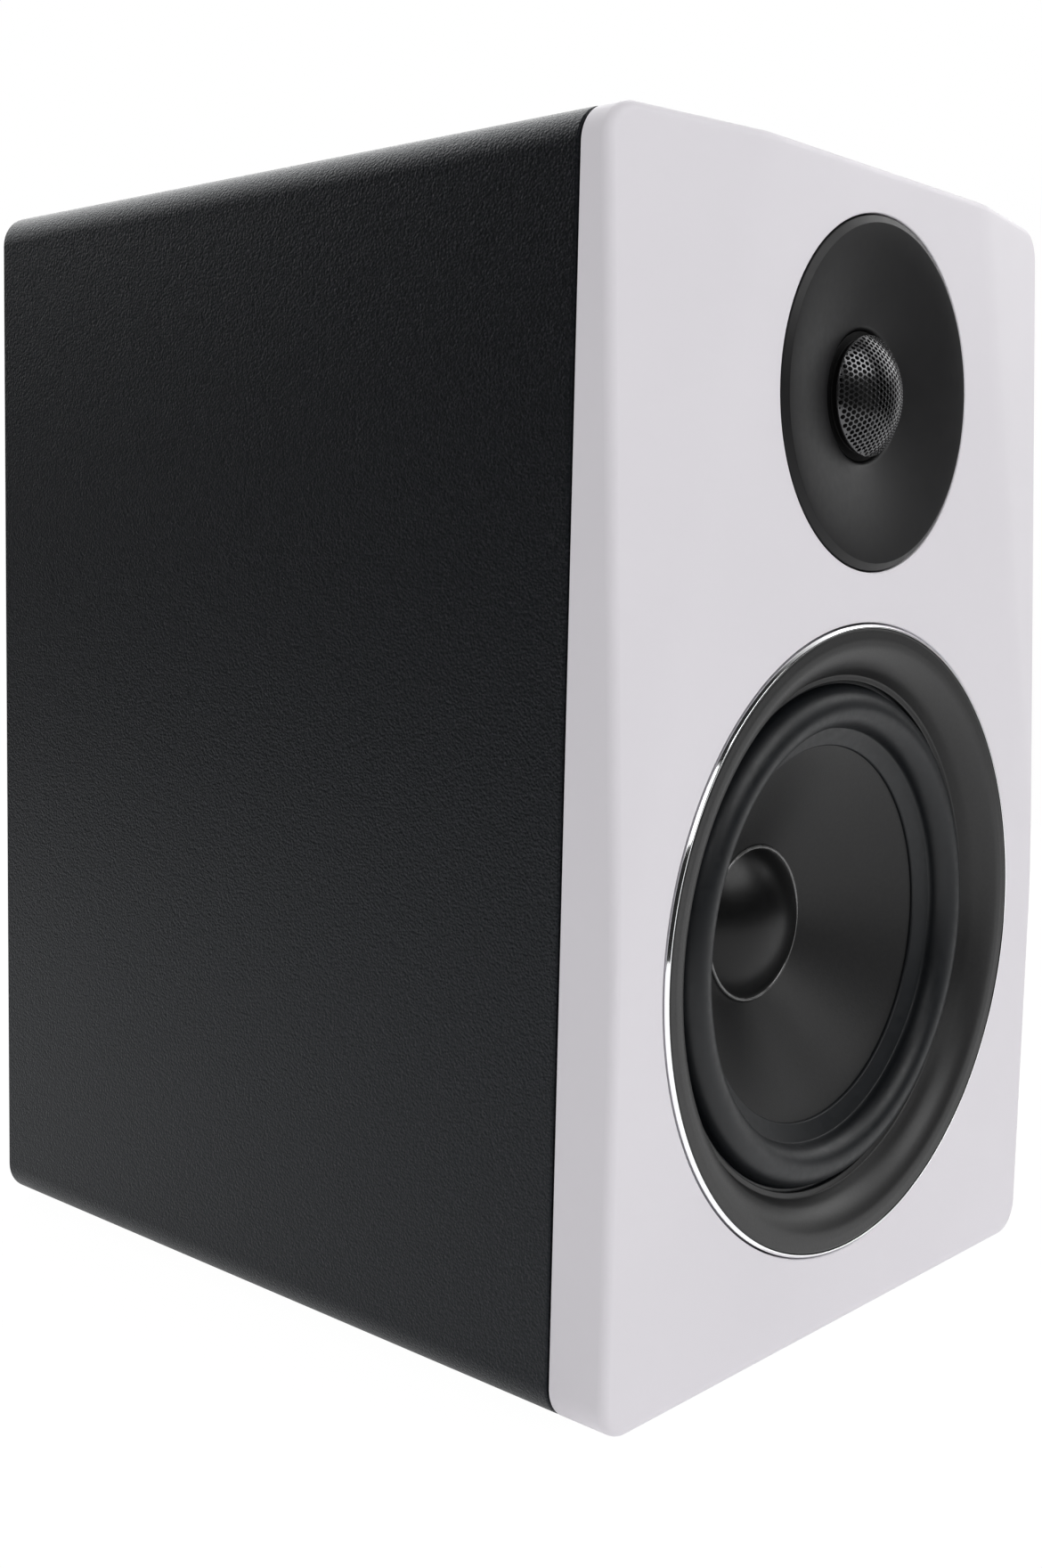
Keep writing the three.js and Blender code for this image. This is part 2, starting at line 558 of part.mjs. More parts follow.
// ---- crossover on the cabinet's floor ----
function addCrossover() {
  const floor = BOTTOM + WALL + GAP;
  const board = { width: 130, depth: 84, thickness: 1.6, y: 58 };
  add('crossover_board', box(board.width, board.depth, board.thickness, 0, board.y, floor + board.thickness / 2),
    looks.board);
  const deck = floor + board.thickness + GAP;

  const inductors = [['woofer_inductor', 24, 11, 18, -36, 70], ['tweeter_inductor', 17, 8, 13, 36, 76]];
  for (const [name, outer, inner, height, x, y] of inductors) {
    const coil = ring(inner, outer, 0, height, MEDIUM_ROUND, 0, { from: 0 });
    coil.rotateX(Math.PI / 2);
    coil.translate(x, y, deck);
    add(name, coil, looks.copper);
  }
  const capacitors = [['large_capacitor', 12, 44, 34, 36], ['small_capacitor', 8, 32, -34, 30]];
  for (const [name, radius, length, x, y] of capacitors) {
    const can = new THREE.CylinderGeometry(radius, radius, length, 16);
    can.rotateZ(Math.PI / 2);
    can.translate(x, y, deck + radius);
    add(name, can, looks.film);
  }

  const leadRadius = 1.8;
  const boardTop = deck + leadRadius + 1;
  add('woofer_lead', tubeAlong([
    [-40, FRONT + 64, WOOFER_Z - 50], [-50, FRONT + 84, WOOFER_Z - 50], [-52, FRONT + 110, WOOFER_Z - 52],
    [-56, 0, 52], [-60, 16, 34], [-61, 24, boardTop],
  ], leadRadius, 24), looks.redPlastic);
  add('tweeter_lead', tubeAlong([
    [24, FRONT + 52, TWEETER_Z - 10], [30, FRONT + 62, TWEETER_Z - 24], [50, FRONT + 84, TWEETER_Z - 44],
    [58, FRONT + 114, TWEETER_Z - 66], [62, 4, 120], [63, 18, 52], [63, 22, boardTop],
  ], leadRadius, 30), looks.blackPlastic);
}

addCabinet();
addWoofer();
addTweeter();
addRear();
addCrossover();

export default speaker;
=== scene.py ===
"""Looks of the two-way bookshelf speaker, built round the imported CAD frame. Metres, +Z up, front at -Y."""
import json
from math import asin, atan2, ceil, cos, degrees, hypot, pi, radians, sin, sqrt, tan

import bmesh
import bpy
import numpy as np
from mathutils import Matrix, Vector


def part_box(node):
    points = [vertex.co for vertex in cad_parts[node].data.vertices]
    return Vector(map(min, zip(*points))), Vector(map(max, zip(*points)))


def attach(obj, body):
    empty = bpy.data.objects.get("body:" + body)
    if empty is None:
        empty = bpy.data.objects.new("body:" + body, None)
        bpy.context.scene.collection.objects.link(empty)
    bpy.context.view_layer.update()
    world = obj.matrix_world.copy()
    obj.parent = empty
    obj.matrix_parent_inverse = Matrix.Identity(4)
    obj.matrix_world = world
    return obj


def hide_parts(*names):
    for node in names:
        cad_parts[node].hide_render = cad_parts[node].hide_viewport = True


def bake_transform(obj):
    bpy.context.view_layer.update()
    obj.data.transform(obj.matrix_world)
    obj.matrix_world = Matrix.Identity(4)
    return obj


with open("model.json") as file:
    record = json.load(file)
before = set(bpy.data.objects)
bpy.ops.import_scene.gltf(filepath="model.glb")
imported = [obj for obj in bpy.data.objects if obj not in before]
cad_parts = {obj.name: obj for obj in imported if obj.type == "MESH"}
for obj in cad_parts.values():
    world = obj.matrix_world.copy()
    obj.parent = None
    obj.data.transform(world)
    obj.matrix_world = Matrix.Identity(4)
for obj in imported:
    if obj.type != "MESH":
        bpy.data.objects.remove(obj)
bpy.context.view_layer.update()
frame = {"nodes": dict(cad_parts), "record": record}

MM = 0.001
scene = bpy.context.scene
record = frame["record"]
slot_of = {part["node"]: part["material_slot"] for part in record["subparts"]}
body_of = {node: body for body, nodes in record["behaviour"]["bodies"].items() for node in nodes}


# ---------------- places, all from the CAD nodes
def middle(node):
    low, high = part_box(node)
    return (low + high) / 2


def nodes_named(prefix):
    return sorted(node for node in slot_of if node.startswith(prefix))


baffle_low, baffle_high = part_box("front_baffle")
shell_low, shell_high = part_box("cabinet_shell")
FRONT, BAFFLE_BACK = baffle_low.y, baffle_high.y
BOX_FRONT, REAR = shell_low.y, shell_high.y
BOTTOM, TOP = shell_low.z, shell_high.z
HALF_WIDTH = shell_high.x
PANEL_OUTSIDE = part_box("rear_panel")[1].y
WOOFER = Vector((0, FRONT, middle("chrome_ring").z))
TWEETER = Vector((0, FRONT, middle("tweeter_waveguide").z))
PORT = Vector((0, PANEL_OUTSIDE, middle("port_flare").z))
CUP = Vector((0, PANEL_OUTSIDE, middle("terminal_cup").z))
EDGE_RADIUS = 10.5 * MM
WALL = 15 * MM
WOOFER_CUTOUT, TWEETER_CUTOUT = 80.5, 36  # radii in mm, as are the screw holes
DRIVER_SCREW_HOLE, TERMINAL_SCREW_HOLE = 2.3, 1.7
POST_OFFSET = 9.5 * MM
CUP_FLOOR = -18  # depth in mm
SWAP_YZ = Matrix(((1, 0, 0, 0), (0, 0, 1, 0), (0, 1, 0, 0), (0, 0, 0, 1)))
WHITE = (1, 1, 1, 1)


# ---------------- materials
class Nodes:
    """A small helper round one node tree."""

    def __init__(self, tree, cleared=True):
        self.tree = tree
        if cleared:
            tree.nodes.clear()

    def add(self, kind, **values):
        node = self.tree.nodes.new(kind)
        for key, value in values.items():
            if hasattr(node, key):
                setattr(node, key, value)
            else:
                self.put(node.inputs[key.replace("_", " ")], value)
        return node

    def put(self, socket, value):
        if isinstance(value, bpy.types.NodeSocket):
            self.tree.links.new(value, socket)
        else:
            socket.default_value = value

    def fed(self, kind, *inputs, **values):
        """The first output of a new node, with its inputs filled in order."""
        node = self.add(kind, **values)
        for socket, value in zip(node.inputs, inputs):
            self.put(socket, value)
        return node.outputs[0]

    def math(self, operation, a, b=0.0, c=0.0):
        return self.fed("ShaderNodeMath", a, b, c, operation=operation)

    def spread(self, value, low, high, start=0.3, end=0.7):
        return self.fed("ShaderNodeMapRange", value, start, end, low, high)

    def mix_colour(self, share, one, two):
        node = self.add("ShaderNodeMix", data_type="RGBA")
        for key, value in (("Factor", share), ("A", one), ("B", two)):
            self.put(node.inputs[key], value)
        return node.outputs["Result"]


def relief_height(nodes, coords, kind, scale, height):
    """Height in metres of one kind of surface detail, at a scale in features per metre."""
    if kind == "noise":
        texture = nodes.add("ShaderNodeTexNoise", Vector=coords, Scale=scale, Detail=3.0, Roughness=0.6)
        return nodes.math("MULTIPLY", texture.outputs[0], height)
    if kind == "fibre":
        stretched = nodes.add("ShaderNodeMapping", Vector=coords, Scale=(1.0, 1.0, 0.12), Rotation=(0.5, 0.3, 0.2))
        texture = nodes.add("ShaderNodeTexNoise", Vector=stretched.outputs[0], Scale=scale, Detail=4.0)
        return nodes.math("MULTIPLY", texture.outputs[0], height)
    if kind == "pebble":
        texture = nodes.add("ShaderNodeTexVoronoi", Vector=coords, Scale=scale, feature="SMOOTH_F1", Smoothness=0.35)
        return nodes.math("MULTIPLY", texture.outputs[0], -height)
    if kind == "weave":
        waves = [
            nodes.add("ShaderNodeTexWave", Vector=coords, Scale=scale, bands_direction=axis).outputs[1]
            for axis in ("X", "Z")
        ]
        return nodes.math("MULTIPLY", nodes.math("MAXIMUM", *waves), height)
    texture = nodes.add("ShaderNodeTexWave", Vector=coords, Scale=scale, bands_direction=kind)
    return nodes.math("MULTIPLY", texture.outputs[1], height)


def look(name, colour, roughness, *, metallic=0.0, specular=0.5, coat=0.0, coat_roughness=0.1, sheen=0.0, tint=None,
         mottle=(90, 0.06), gloss=0.05, relief=(), speck=None):
    """A procedural material. mottle is (features per metre, share of the colour), gloss the spread of the
    roughness, tint the colour of its reflections, speck (features per metre, colour, amount), and relief a list
    of (kind, features per metre, height in millimetres)."""
    material = bpy.data.materials.new(name)
    material.use_nodes = True
    nodes = Nodes(material.node_tree)
    shader = nodes.add("ShaderNodeBsdfPrincipled", Metallic=metallic)
    shader.inputs["Specular IOR Level"].default_value = specular
    if tint:
        shader.inputs["Specular Tint"].default_value = (*tint, 1.0)
    shader.inputs["Coat Weight"].default_value = coat
    shader.inputs["Coat Roughness"].default_value = coat_roughness
    shader.inputs["Sheen Weight"].default_value = sheen
    output = nodes.add("ShaderNodeOutputMaterial")
    nodes.put(output.inputs["Surface"], shader.outputs[0])
    coords = nodes.add("ShaderNodeTexCoord").outputs["Object"]
    scale, share = mottle
    cloud = nodes.add("ShaderNodeTexNoise", Vector=coords, Scale=scale, Detail=4.0).outputs[0]
    base = nodes.mix_colour(nodes.spread(cloud, 0.0, 1.0), (*[c * (1 - share) for c in colour], 1.0),
                            (*[min(1.0, c * (1 + share)) for c in colour], 1.0))
    if speck:
        speck_scale, speck_colour, amount = speck
        spots = nodes.add("ShaderNodeTexNoise", Vector=coords, Scale=speck_scale, Detail=2.0).outputs[0]
        base = nodes.mix_colour(nodes.spread(spots, 0.0, amount, 0.5, 0.72), base, (*speck_colour, 1.0))
    nodes.put(shader.inputs["Base Color"], base)
    dull = nodes.add("ShaderNodeTexNoise", Vector=coords, Scale=scale * 3.1, Detail=5.0).outputs[0]
    nodes.put(shader.inputs["Roughness"], nodes.spread(dull, max(0.02, roughness - gloss), roughness + gloss))
    if relief:
        heights = [relief_height(nodes, coords, kind, size, height * MM) for kind, size, height in relief]
        total = heights[0]
        for height in heights[1:]:
            total = nodes.math("ADD", total, height)
        bump = nodes.add("ShaderNodeBump", Strength=1.0, Distance=1.0, Height=total)
        nodes.put(shader.inputs["Normal"], bump.outputs[0])
    return material


VINYL = dict(colour=(0.003, 0.0037, 0.0048), roughness=0.43, specular=0.27, tint=(0.86, 0.93, 1.0), mottle=(900, 0.4),
             gloss=0.12, speck=(1500, (0.03, 0.026, 0.034), 0.5), relief=[("pebble", 1350, 0.13), ("noise", 1100, 0.1)])
looks = {
    "vinyl": look("black_vinyl", **VINYL),
    "rear_vinyl": look("black_vinyl_rear", **VINYL),
    "white_gloss": look("white_lacquer", (0.79, 0.765, 0.805), 0.45, specular=0.18, coat=0.05, coat_roughness=0.25,
                        mottle=(14, 0.012), gloss=0.03, relief=[("noise", 260, 0.006)]),
    "board_panel": look("fibreboard", (0.42, 0.29, 0.17), 0.85, specular=0.25, mottle=(220, 0.18),
                        relief=[("fibre", 900, 0.12)], speck=(1500, (0.2, 0.12, 0.06), 0.5)),
    "chrome": look("polished_chrome", (0.95, 0.955, 0.965), 0.07, metallic=1.0, mottle=(60, 0.02), gloss=0.02,
                   relief=[("noise", 500, 0.002)]),
    "satin_black": look("satin_black_moulding", (0.0115, 0.0114, 0.0121), 0.44, specular=0.25, mottle=(130, 0.08),
                        gloss=0.03, relief=[("noise", 2400, 0.012)]),
    "rubber": look("satin_rubber", (0.0038, 0.0052, 0.0072), 0.42, specular=0.42, mottle=(160, 0.12), gloss=0.05,
                   relief=[("noise", 1600, 0.012)]),
    "foot_rubber": look("matt_rubber", (0.012, 0.012, 0.013), 0.75, mottle=(400, 0.15), relief=[("noise", 1800, 0.04)]),
    "cone": look("satin_polypropylene", (0.0076, 0.0077, 0.0081), 0.45, specular=0.4, mottle=(900, 0.22), gloss=0.05,
                 relief=[("noise", 1500, 0.03)]),
    "cast_metal": look("painted_casting", (0.03, 0.031, 0.034), 0.5, metallic=0.4, mottle=(150, 0.15),
                       relief=[("noise", 900, 0.07)]),
    "steel": look("zinc_plate", (0.52, 0.53, 0.54), 0.3, metallic=1.0, mottle=(60, 0.12), gloss=0.08,
                  relief=[("fibre", 1500, 0.01)]),
    "ferrite": look("ferrite", (0.03, 0.031, 0.035), 0.72, mottle=(300, 0.2), relief=[("noise", 1300, 0.09)],
                    speck=(2500, (0.09, 0.09, 0.1), 0.4)),
    "copper": look("copper_winding", (0.62, 0.22, 0.085), 0.26, metallic=1.0, mottle=(120, 0.15),
                   relief=[("Y", 420, 0.12)]),
    "brass": look("gold_plate", (0.83, 0.58, 0.22), 0.2, metallic=1.0, mottle=(160, 0.08), gloss=0.05,
                  relief=[("noise", 1400, 0.006)]),
    "former": look("amber_film", (0.42, 0.17, 0.03), 0.32, coat=0.4, mottle=(140, 0.12), relief=[("noise", 700, 0.02)]),
    "spider_cloth": look("resin_cloth", (0.5, 0.31, 0.1), 0.8, sheen=0.2, mottle=(250, 0.12),
                         relief=[("weave", 480, 0.12)]),
    "felt": look("grey_felt", (0.16, 0.165, 0.18), 0.95, sheen=0.4, mottle=(90, 0.2),
                 relief=[("fibre", 700, 0.9), ("noise", 240, 0.8)], speck=(900, (0.4, 0.4, 0.42), 0.5)),
    "guard_mesh": look("black_perforated_metal", (0.1, 0.1, 0.103), 0.22, specular=0.8, metallic=0.85,
                       mottle=(300, 0.1), relief=[("noise", 3000, 0.008)]),
    "black_plastic": look("black_moulding", (0.016, 0.0165, 0.018), 0.42, mottle=(180, 0.1),
                          relief=[("noise", 1500, 0.015)]),
    "red_plastic": look("red_moulding", (0.42, 0.012, 0.01), 0.32, mottle=(180, 0.08), relief=[("noise", 1500, 0.012)]),
    "circuit_board": look("solder_mask", (0.02, 0.13, 0.035), 0.35, coat=0.3, mottle=(160, 0.3),
                          relief=[("noise", 600, 0.05)], speck=(260, (0.05, 0.26, 0.08), 0.9)),
    "film_can": look("film_capacitor", (0.62, 0.42, 0.04), 0.3, coat=0.3, mottle=(110, 0.06),
                     relief=[("noise", 320, 0.06)]),
    "dark_steel": look("black_oxide", (0.03, 0.03, 0.032), 0.36, metallic=0.8, mottle=(400, 0.15),
                       relief=[("noise", 2200, 0.01)]),
}
# Painted shade: a near-black, darker than these parts' own black, standing in for the shade in the tweeter's narrow
# throat and behind its guard.
PAINTED_SHADE_BLACK = look("painted_shade_black", (0.003, 0.003, 0.0032), 0.6, specular=0.15, mottle=(300, 0.2),
                   relief=[("noise", 2000, 0.02)])


# ---------------- shapes
def smooth(mesh, angle):
    """Smooth shading, apart from corners sharper than angle."""
    mesh.shade_smooth()
    mesh.set_sharp_from_angle(angle=radians(angle))


def add_object(name, bm, angle=32):
    """An object from a bmesh: faces out, smooth apart from corners sharper than angle."""
    bmesh.ops.recalc_face_normals(bm, faces=bm.faces)
    mesh = bpy.data.meshes.new(name)
    bm.to_mesh(mesh)
    bm.free()
    smooth(mesh, angle)
    obj = bpy.data.objects.new(name, mesh)
    scene.collection.objects.link(obj)
    return obj


def finished(obj, *nodes, look_slot=None):
    """obj stands for the CAD nodes: it takes their slot's material and rides on their body."""
    slot = look_slot or slot_of[nodes[0]]
    obj.data.materials.clear()
    obj.data.materials.append(looks[slot])
    if nodes:
        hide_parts(*nodes)
        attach(obj, body_of[nodes[0]])
    return obj


def applied(obj):
    """Applies obj's modifiers to its mesh."""
    bpy.context.view_layer.update()
    evaluated = obj.evaluated_get(bpy.context.evaluated_depsgraph_get())
    mesh = bpy.data.meshes.new_from_object(evaluated)
    obj.modifiers.clear()
    obj.data = mesh
    return obj


def baked(obj, angle=32):
    """Applies obj's modifiers, then shades the result."""
    smooth(applied(obj).data, angle)
    return obj


def weighted(obj, angle):
    """Keeps broad flat faces flat next to their rounded edges, in normals that are stored on the mesh."""
    smooth(obj.data, angle)
    modifier = obj.modifiers.new("normals", "WEIGHTED_NORMAL")
    modifier.keep_sharp = True
    modifier.weight = 100
    return applied(obj)


def cut(obj, cutters, angle=32):
    """Takes the cutters out of obj and removes them."""
    for cutter in cutters:
        modifier = obj.modifiers.new("cut", "BOOLEAN")
        modifier.operation, modifier.solver, modifier.object = "DIFFERENCE", "EXACT", cutter
    baked(obj, angle)
    for cutter in cutters:
        bpy.data.objects.remove(cutter)
    return obj


def eased(outline, closed=True, support=0.2):
    """An outline with rounded corners. Each point is (radius, depth) or (radius, depth, corner radius)."""
    points = [(Vector(p[:2]), p[2] if len(p) > 2 else 0.0) for p in outline]
    result = []
    for i, (corner, radius) in enumerate(points):
        at_end = not closed and i in (0, len(points) - 1)
        before, after = points[i - 1][0] - corner, points[(i + 1) % len(points)][0] - corner
        turn = 0 if at_end else pi - before.angle(after)
        if radius <= 0 or turn < 0.02:
            result.append(corner)
            continue
        reach = min(radius * tan(turn / 2), 0.46 * before.length, 0.46 * after.length)
        radius = reach / tan(turn / 2)
        to_middle = (before.normalized() + after.normalized()).normalized()
        centre = corner + to_middle * (radius / cos(turn / 2))
        start = corner + before.normalized() * reach - centre
        side = 1 if before.cross(after) < 0 else -1
        if before.length > 3 * support + reach:
            result.append(corner + before.normalized() * (reach + support))
        steps = max(2, ceil(turn / radians(16)))
        for step in range(steps + 1):
            share = side * turn * step / steps
            result.append(centre + Matrix.Rotation(share, 2) @ start)
        if after.length > 3 * support + reach:
            result.append(corner + after.normalized() * (reach + support))
    return [(p.x, p.y) for p in result]


def flowing(points, steps=6):
    """A smooth curve through the points."""
    line = [Vector(p) for p in points]
    line = [2 * line[0] - line[1], *line, 2 * line[-1] - line[-2]]
    result = []
    for a, b, c, d in zip(line, line[1:], line[2:], line[3:]):
        for step in range(steps):
            t = step / steps
            result.append(0.5 * (2 * b + (c - a) * t + (2 * a - 5 * b + 4 * c - d) * t * t
                                 + (3 * b - a - 3 * c + d) * t ** 3))
    result.append(line[-2])
    return [(p.x, p.y) for p in result]


def arc(middle_radius, depth, radius, start, end, steps):
    """Points on an arc, in degrees: 0 points outwards and 90 to the front."""
    angles = [radians(start + (end - start) * i / steps) for i in range(steps + 1)]
    return [(middle_radius + radius * cos(a), depth - radius * sin(a)) for a in angles]


def turned(name, outline, place, segments=128, closed=True, flute=None, angle=32):
    """A solid of revolution about Y through place. Outline points are (radius, depth) in mm. A closed
    outline is a ring. An open one starts and ends on the axis."""
    bm = bmesh.new()
    turns = [2 * pi * i / segments for i in range(segments)]
    rings = []
    for radius, depth in outline:
        if radius < 1e-6:
            rings.append([bm.verts.new(place + Vector((0, depth * MM, 0)))])
            continue
        ring = []
        for turn in turns:
            r = (flute(radius, depth, turn) if flute else radius) * MM
            ring.append(bm.verts.new(place + Vector((r * cos(turn), depth * MM, r * sin(turn)))))
        rings.append(ring)
    pairs = list(zip(rings, rings[1:])) + ([(rings[-1], rings[0])] if closed else [])
    for one, two in pairs:
        for i in range(segments):
            j = (i + 1) % segments
            if len(one) == 1 and len(two) == 1:
                break
            if len(one) == 1:
                bm.faces.new((one[0], two[i], two[j]))
            elif len(two) == 1:
                bm.faces.new((one[i], one[j], two[0]))
            else:
                bm.faces.new((one[i], one[j], two[j], two[i]))
    return add_object(name, bm, angle)


def rounded_ring(half_width, half_height, radius, corner_steps=10):
    """Points round a rounded rectangle in XZ, centred on the origin."""
    radius = max(radius, 1e-5)
    points = []
    for sx, sz, start in ((1, -1, -90), (1, 1, 0), (-1, 1, 90), (-1, -1, 180)):
        cx, cz = sx * (half_width - radius), sz * (half_height - radius)
        for step in range(corner_steps + 1):
            a = radians(start + 90 * step / corner_steps)
            points.append((cx + radius * cos(a), cz + radius * sin(a)))
    return points


def lofted(name, stations, place, closed, angle=32, corner_steps=10):
    """A skin through rounded rectangles. A station is (half width, half height, corner radius, y)."""
    bm = bmesh.new()
    rings = []
    for half_width, half_height, radius, y in stations:
        outline = rounded_ring(half_width, half_height, radius, corner_steps)
        rings.append([bm.verts.new(place + Vector((x, y, z))) for x, z in outline])
    pairs = list(zip(rings, rings[1:])) + ([(rings[-1], rings[0])] if closed else [])
    for one, two in pairs:
        for i in range(len(one)):
            j = (i + 1) % len(one)
            bm.faces.new((one[i], one[j], two[j], two[i]))
    if not closed:
        bm.faces.new(rings[0])
        bm.faces.new(rings[-1])
    return add_object(name, bm, angle)


def inset_stations(half_width, half_height, radius, path):
    """Stations from (inset, y) pairs: the outline shrinks by the inset."""
    return [(half_width - i, half_height - i, max(radius - i, 0.0), y) for i, y in path]


def disc_cutter(radius, start, end, place, segments=48):
    return turned("cutter", [(0, start), (radius, start), (radius, end), (0, end)], place, segments, closed=False)


def finished_bend(obj, node):
    """A ring that stands for its CAD node: it takes the node's slot's material, its placement is baked into its mesh,
    and the node is hidden. Its vertex positions are read but not used; nothing fixes it to the cabinet or to the moving
    body."""
    obj.data.materials.append(looks[slot_of[node]])
    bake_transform(obj)
    co = np.zeros(len(obj.data.vertices) * 3, np.float32)
    obj.data.vertices.foreach_get("co", co)
    co = co.reshape(-1, 3)
    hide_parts(node)


def add_turned(outlines, place, segments, closed=True):
    """Plain turned parts, each of which stands for the CAD node it is named after."""
    for node, outline in outlines.items():
        finished(turned(node + "_turned", eased(outline, closed=closed), place, segments, closed=closed), node)


def screw_holes(prefix, radius, start, end, front):
    """Cutters on the axes of the screws whose nodes start with prefix."""
    return [disc_cutter(radius, start, end, Vector((middle(node).x, front, middle(node).z)), 24)
            for node in nodes_named(prefix)]


def threaded(crest, root, start, pitch, count):
    """The outline of a screw's thread, as rings."""
    return [(crest if i % 2 else root, start + pitch * i) for i in range(count)]


def add_screws(prefix, head, thread, tip, front, recess):
    """Cross-head screws along Y. The head is an outline that starts on the axis, and recess is its cross: the
    depth it is cut to, and each slot's half length and half width."""
    for node in nodes_named(prefix):
        place = Vector((middle(node).x, front, middle(node).z))
        screw = turned(node + "_driven", eased(head + thread + [(0, tip)], closed=False), place, 32, closed=False)
        bottom, reach, half_slot = recess
        slots = [lofted("cutter", [(w * MM, h * MM, 0.1 * MM, y * MM) for y in (bottom, bottom + 3)], place,
                        closed=False, corner_steps=2) for w, h in ((reach, half_slot), (half_slot, reach))]
        finished(cut(screw, slots), node)


# ---------------- camera and light
def add_camera():
    yaw, pitch, roll = (radians(angle) for angle in (47.7308, -5.9615, 1.2347))
    forward = Vector((sin(yaw) * cos(pitch), cos(yaw) * cos(pitch), sin(pitch)))
    level = forward.cross(Vector((0, 0, 1))).normalized()
    right = level * cos(roll) + level.cross(forward) * sin(roll)
    up = right.cross(forward)
    data = bpy.data.cameras.new("camera")
    data.lens, data.sensor_width = 41.9, 36
    data.shift_x, data.shift_y = 0.01795, -0.01614
    data.clip_start = 0.02
    camera = bpy.data.objects.new("camera", data)
    position = Vector((-0.4605, FRONT - 0.2737, 0.2238))
    camera.matrix_world = Matrix.Translation(position) @ Matrix((right, up, -forward)).transposed().to_4x4()
    scene.collection.objects.link(camera)
    scene.camera = camera


def add_area(name, position, target, size, power, only_gloss=False):
    data = bpy.data.lights.new(name, "AREA")
    data.shape = "RECTANGLE"
    data.size, data.size_y = size
    data.energy = power
    light = bpy.data.objects.new(name, data)
    light.location = position
    light.rotation_euler = (Vector(target) - Vector(position)).to_track_quat("-Z", "Y").to_euler()
    light.visible_diffuse = not only_gloss
    scene.collection.objects.link(light)


def add_world():
    """The camera sees a white backdrop and diffuse light an even soft fill. Gloss sees a room that is dark in front
    of the speaker and bright towards its upper right rear."""
    world = bpy.data.worlds.new("studio")
    world.use_nodes = True
    scene.world = world
    nodes = Nodes(world.node_tree)
    path = nodes.add("ShaderNodeLightPath").outputs
    along = nodes.add("ShaderNodeVectorMath", operation="DOT_PRODUCT")
    nodes.put(along.inputs[0], nodes.add("ShaderNodeTexCoord").outputs["Generated"])
    nodes.put(along.inputs[1], Vector((0.68, 0.62, 0.4)).normalized())
    dark_until, bright_from, dark, bright = 0.25, 0.95, 0.02, 1.9
    room_strength = nodes.fed("ShaderNodeMapRange", along.outputs["Value"], dark_until, bright_from, dark, bright,
                              interpolation_type="SMOOTHSTEP")
    backdrop, fill, room = (nodes.add("ShaderNodeBackground", Color=WHITE, Strength=strength).outputs[0]
                            for strength in (1.0, 0.564, room_strength))
    lit = nodes.fed("ShaderNodeMixShader", path["Is Glossy Ray"], fill, room)
    seen = nodes.fed("ShaderNodeMixShader", path["Is Camera Ray"], lit, backdrop)
    nodes.put(nodes.add("ShaderNodeOutputWorld").inputs[0], seen)


def add_floor():
    """A pale sheet under the speaker. It is brighter in reflections, and nearly plain white to the camera."""
    reach, own_glow, gloss_glow, gloss_share, camera_glow, camera_share = 1.1, 0.226, 1.25, 0.5, 1.02, 0.96
    mesh = bpy.data.meshes.new("floor")
    mesh.from_pydata([(-reach, -reach, 0), (reach, -reach, 0), (reach, reach, 0), (-reach, reach, 0)], [],
                     [(0, 1, 2, 3)])
    floor = bpy.data.objects.new("floor", mesh)
    scene.collection.objects.link(floor)
    paper = look("studio_floor", (0.9, 0.9, 0.905), 0.6, specular=0.2, mottle=(3, 0.004), gloss=0.03,
                 relief=[("noise", 120, 0.02)])
    shader = paper.node_tree.nodes["Principled BSDF"]
    shader.inputs["Emission Color"].default_value = WHITE
    shader.inputs["Emission Strength"].default_value = own_glow
    nodes = Nodes(paper.node_tree, cleared=False)
    path = nodes.add("ShaderNodeLightPath").outputs
    seen = shader.outputs[0]
    for ray, share, strength in (("Is Glossy Ray", gloss_share, gloss_glow),
                                 ("Is Camera Ray", camera_share, camera_glow)):
        glow = nodes.add("ShaderNodeEmission", Strength=strength).outputs[0]
        seen = nodes.fed("ShaderNodeMixShader", nodes.math("MULTIPLY", path[ray], share), seen, glow)
    nodes.put(paper.node_tree.nodes["Material Output"].inputs["Surface"], seen)
    mesh.materials.append(paper)


def add_studio():
    """One soft key from the upper front, and four soft lights that show only in reflections."""
    scene.view_settings.view_transform = "Standard"
    add_world()
    add_area("key", (0.25, -1.4, 1.3), (0, 0, 0.17), (1.1, 0.8), 8.3)
    add_area("gloss_key", (0.3, -1.38, 1.3), (0, 0, 0.17), (0.9, 0.6), 1.5, only_gloss=True)
    add_area("gloss_left", (-1.1, -1.1, 1.3), (0, -0.1, 0.17), (1.0, 0.8), 4, only_gloss=True)
    add_area("gloss_side", (1.3, -0.6, 1.1), (0, -0.1, 0.17), (1.0, 0.8), 4, only_gloss=True)
    add_area("gloss_top", (0.2, 1.2, 1.4), (-0.1, 0, 0.3), (2.4, 1.8), 20, only_gloss=True)
    add_floor()


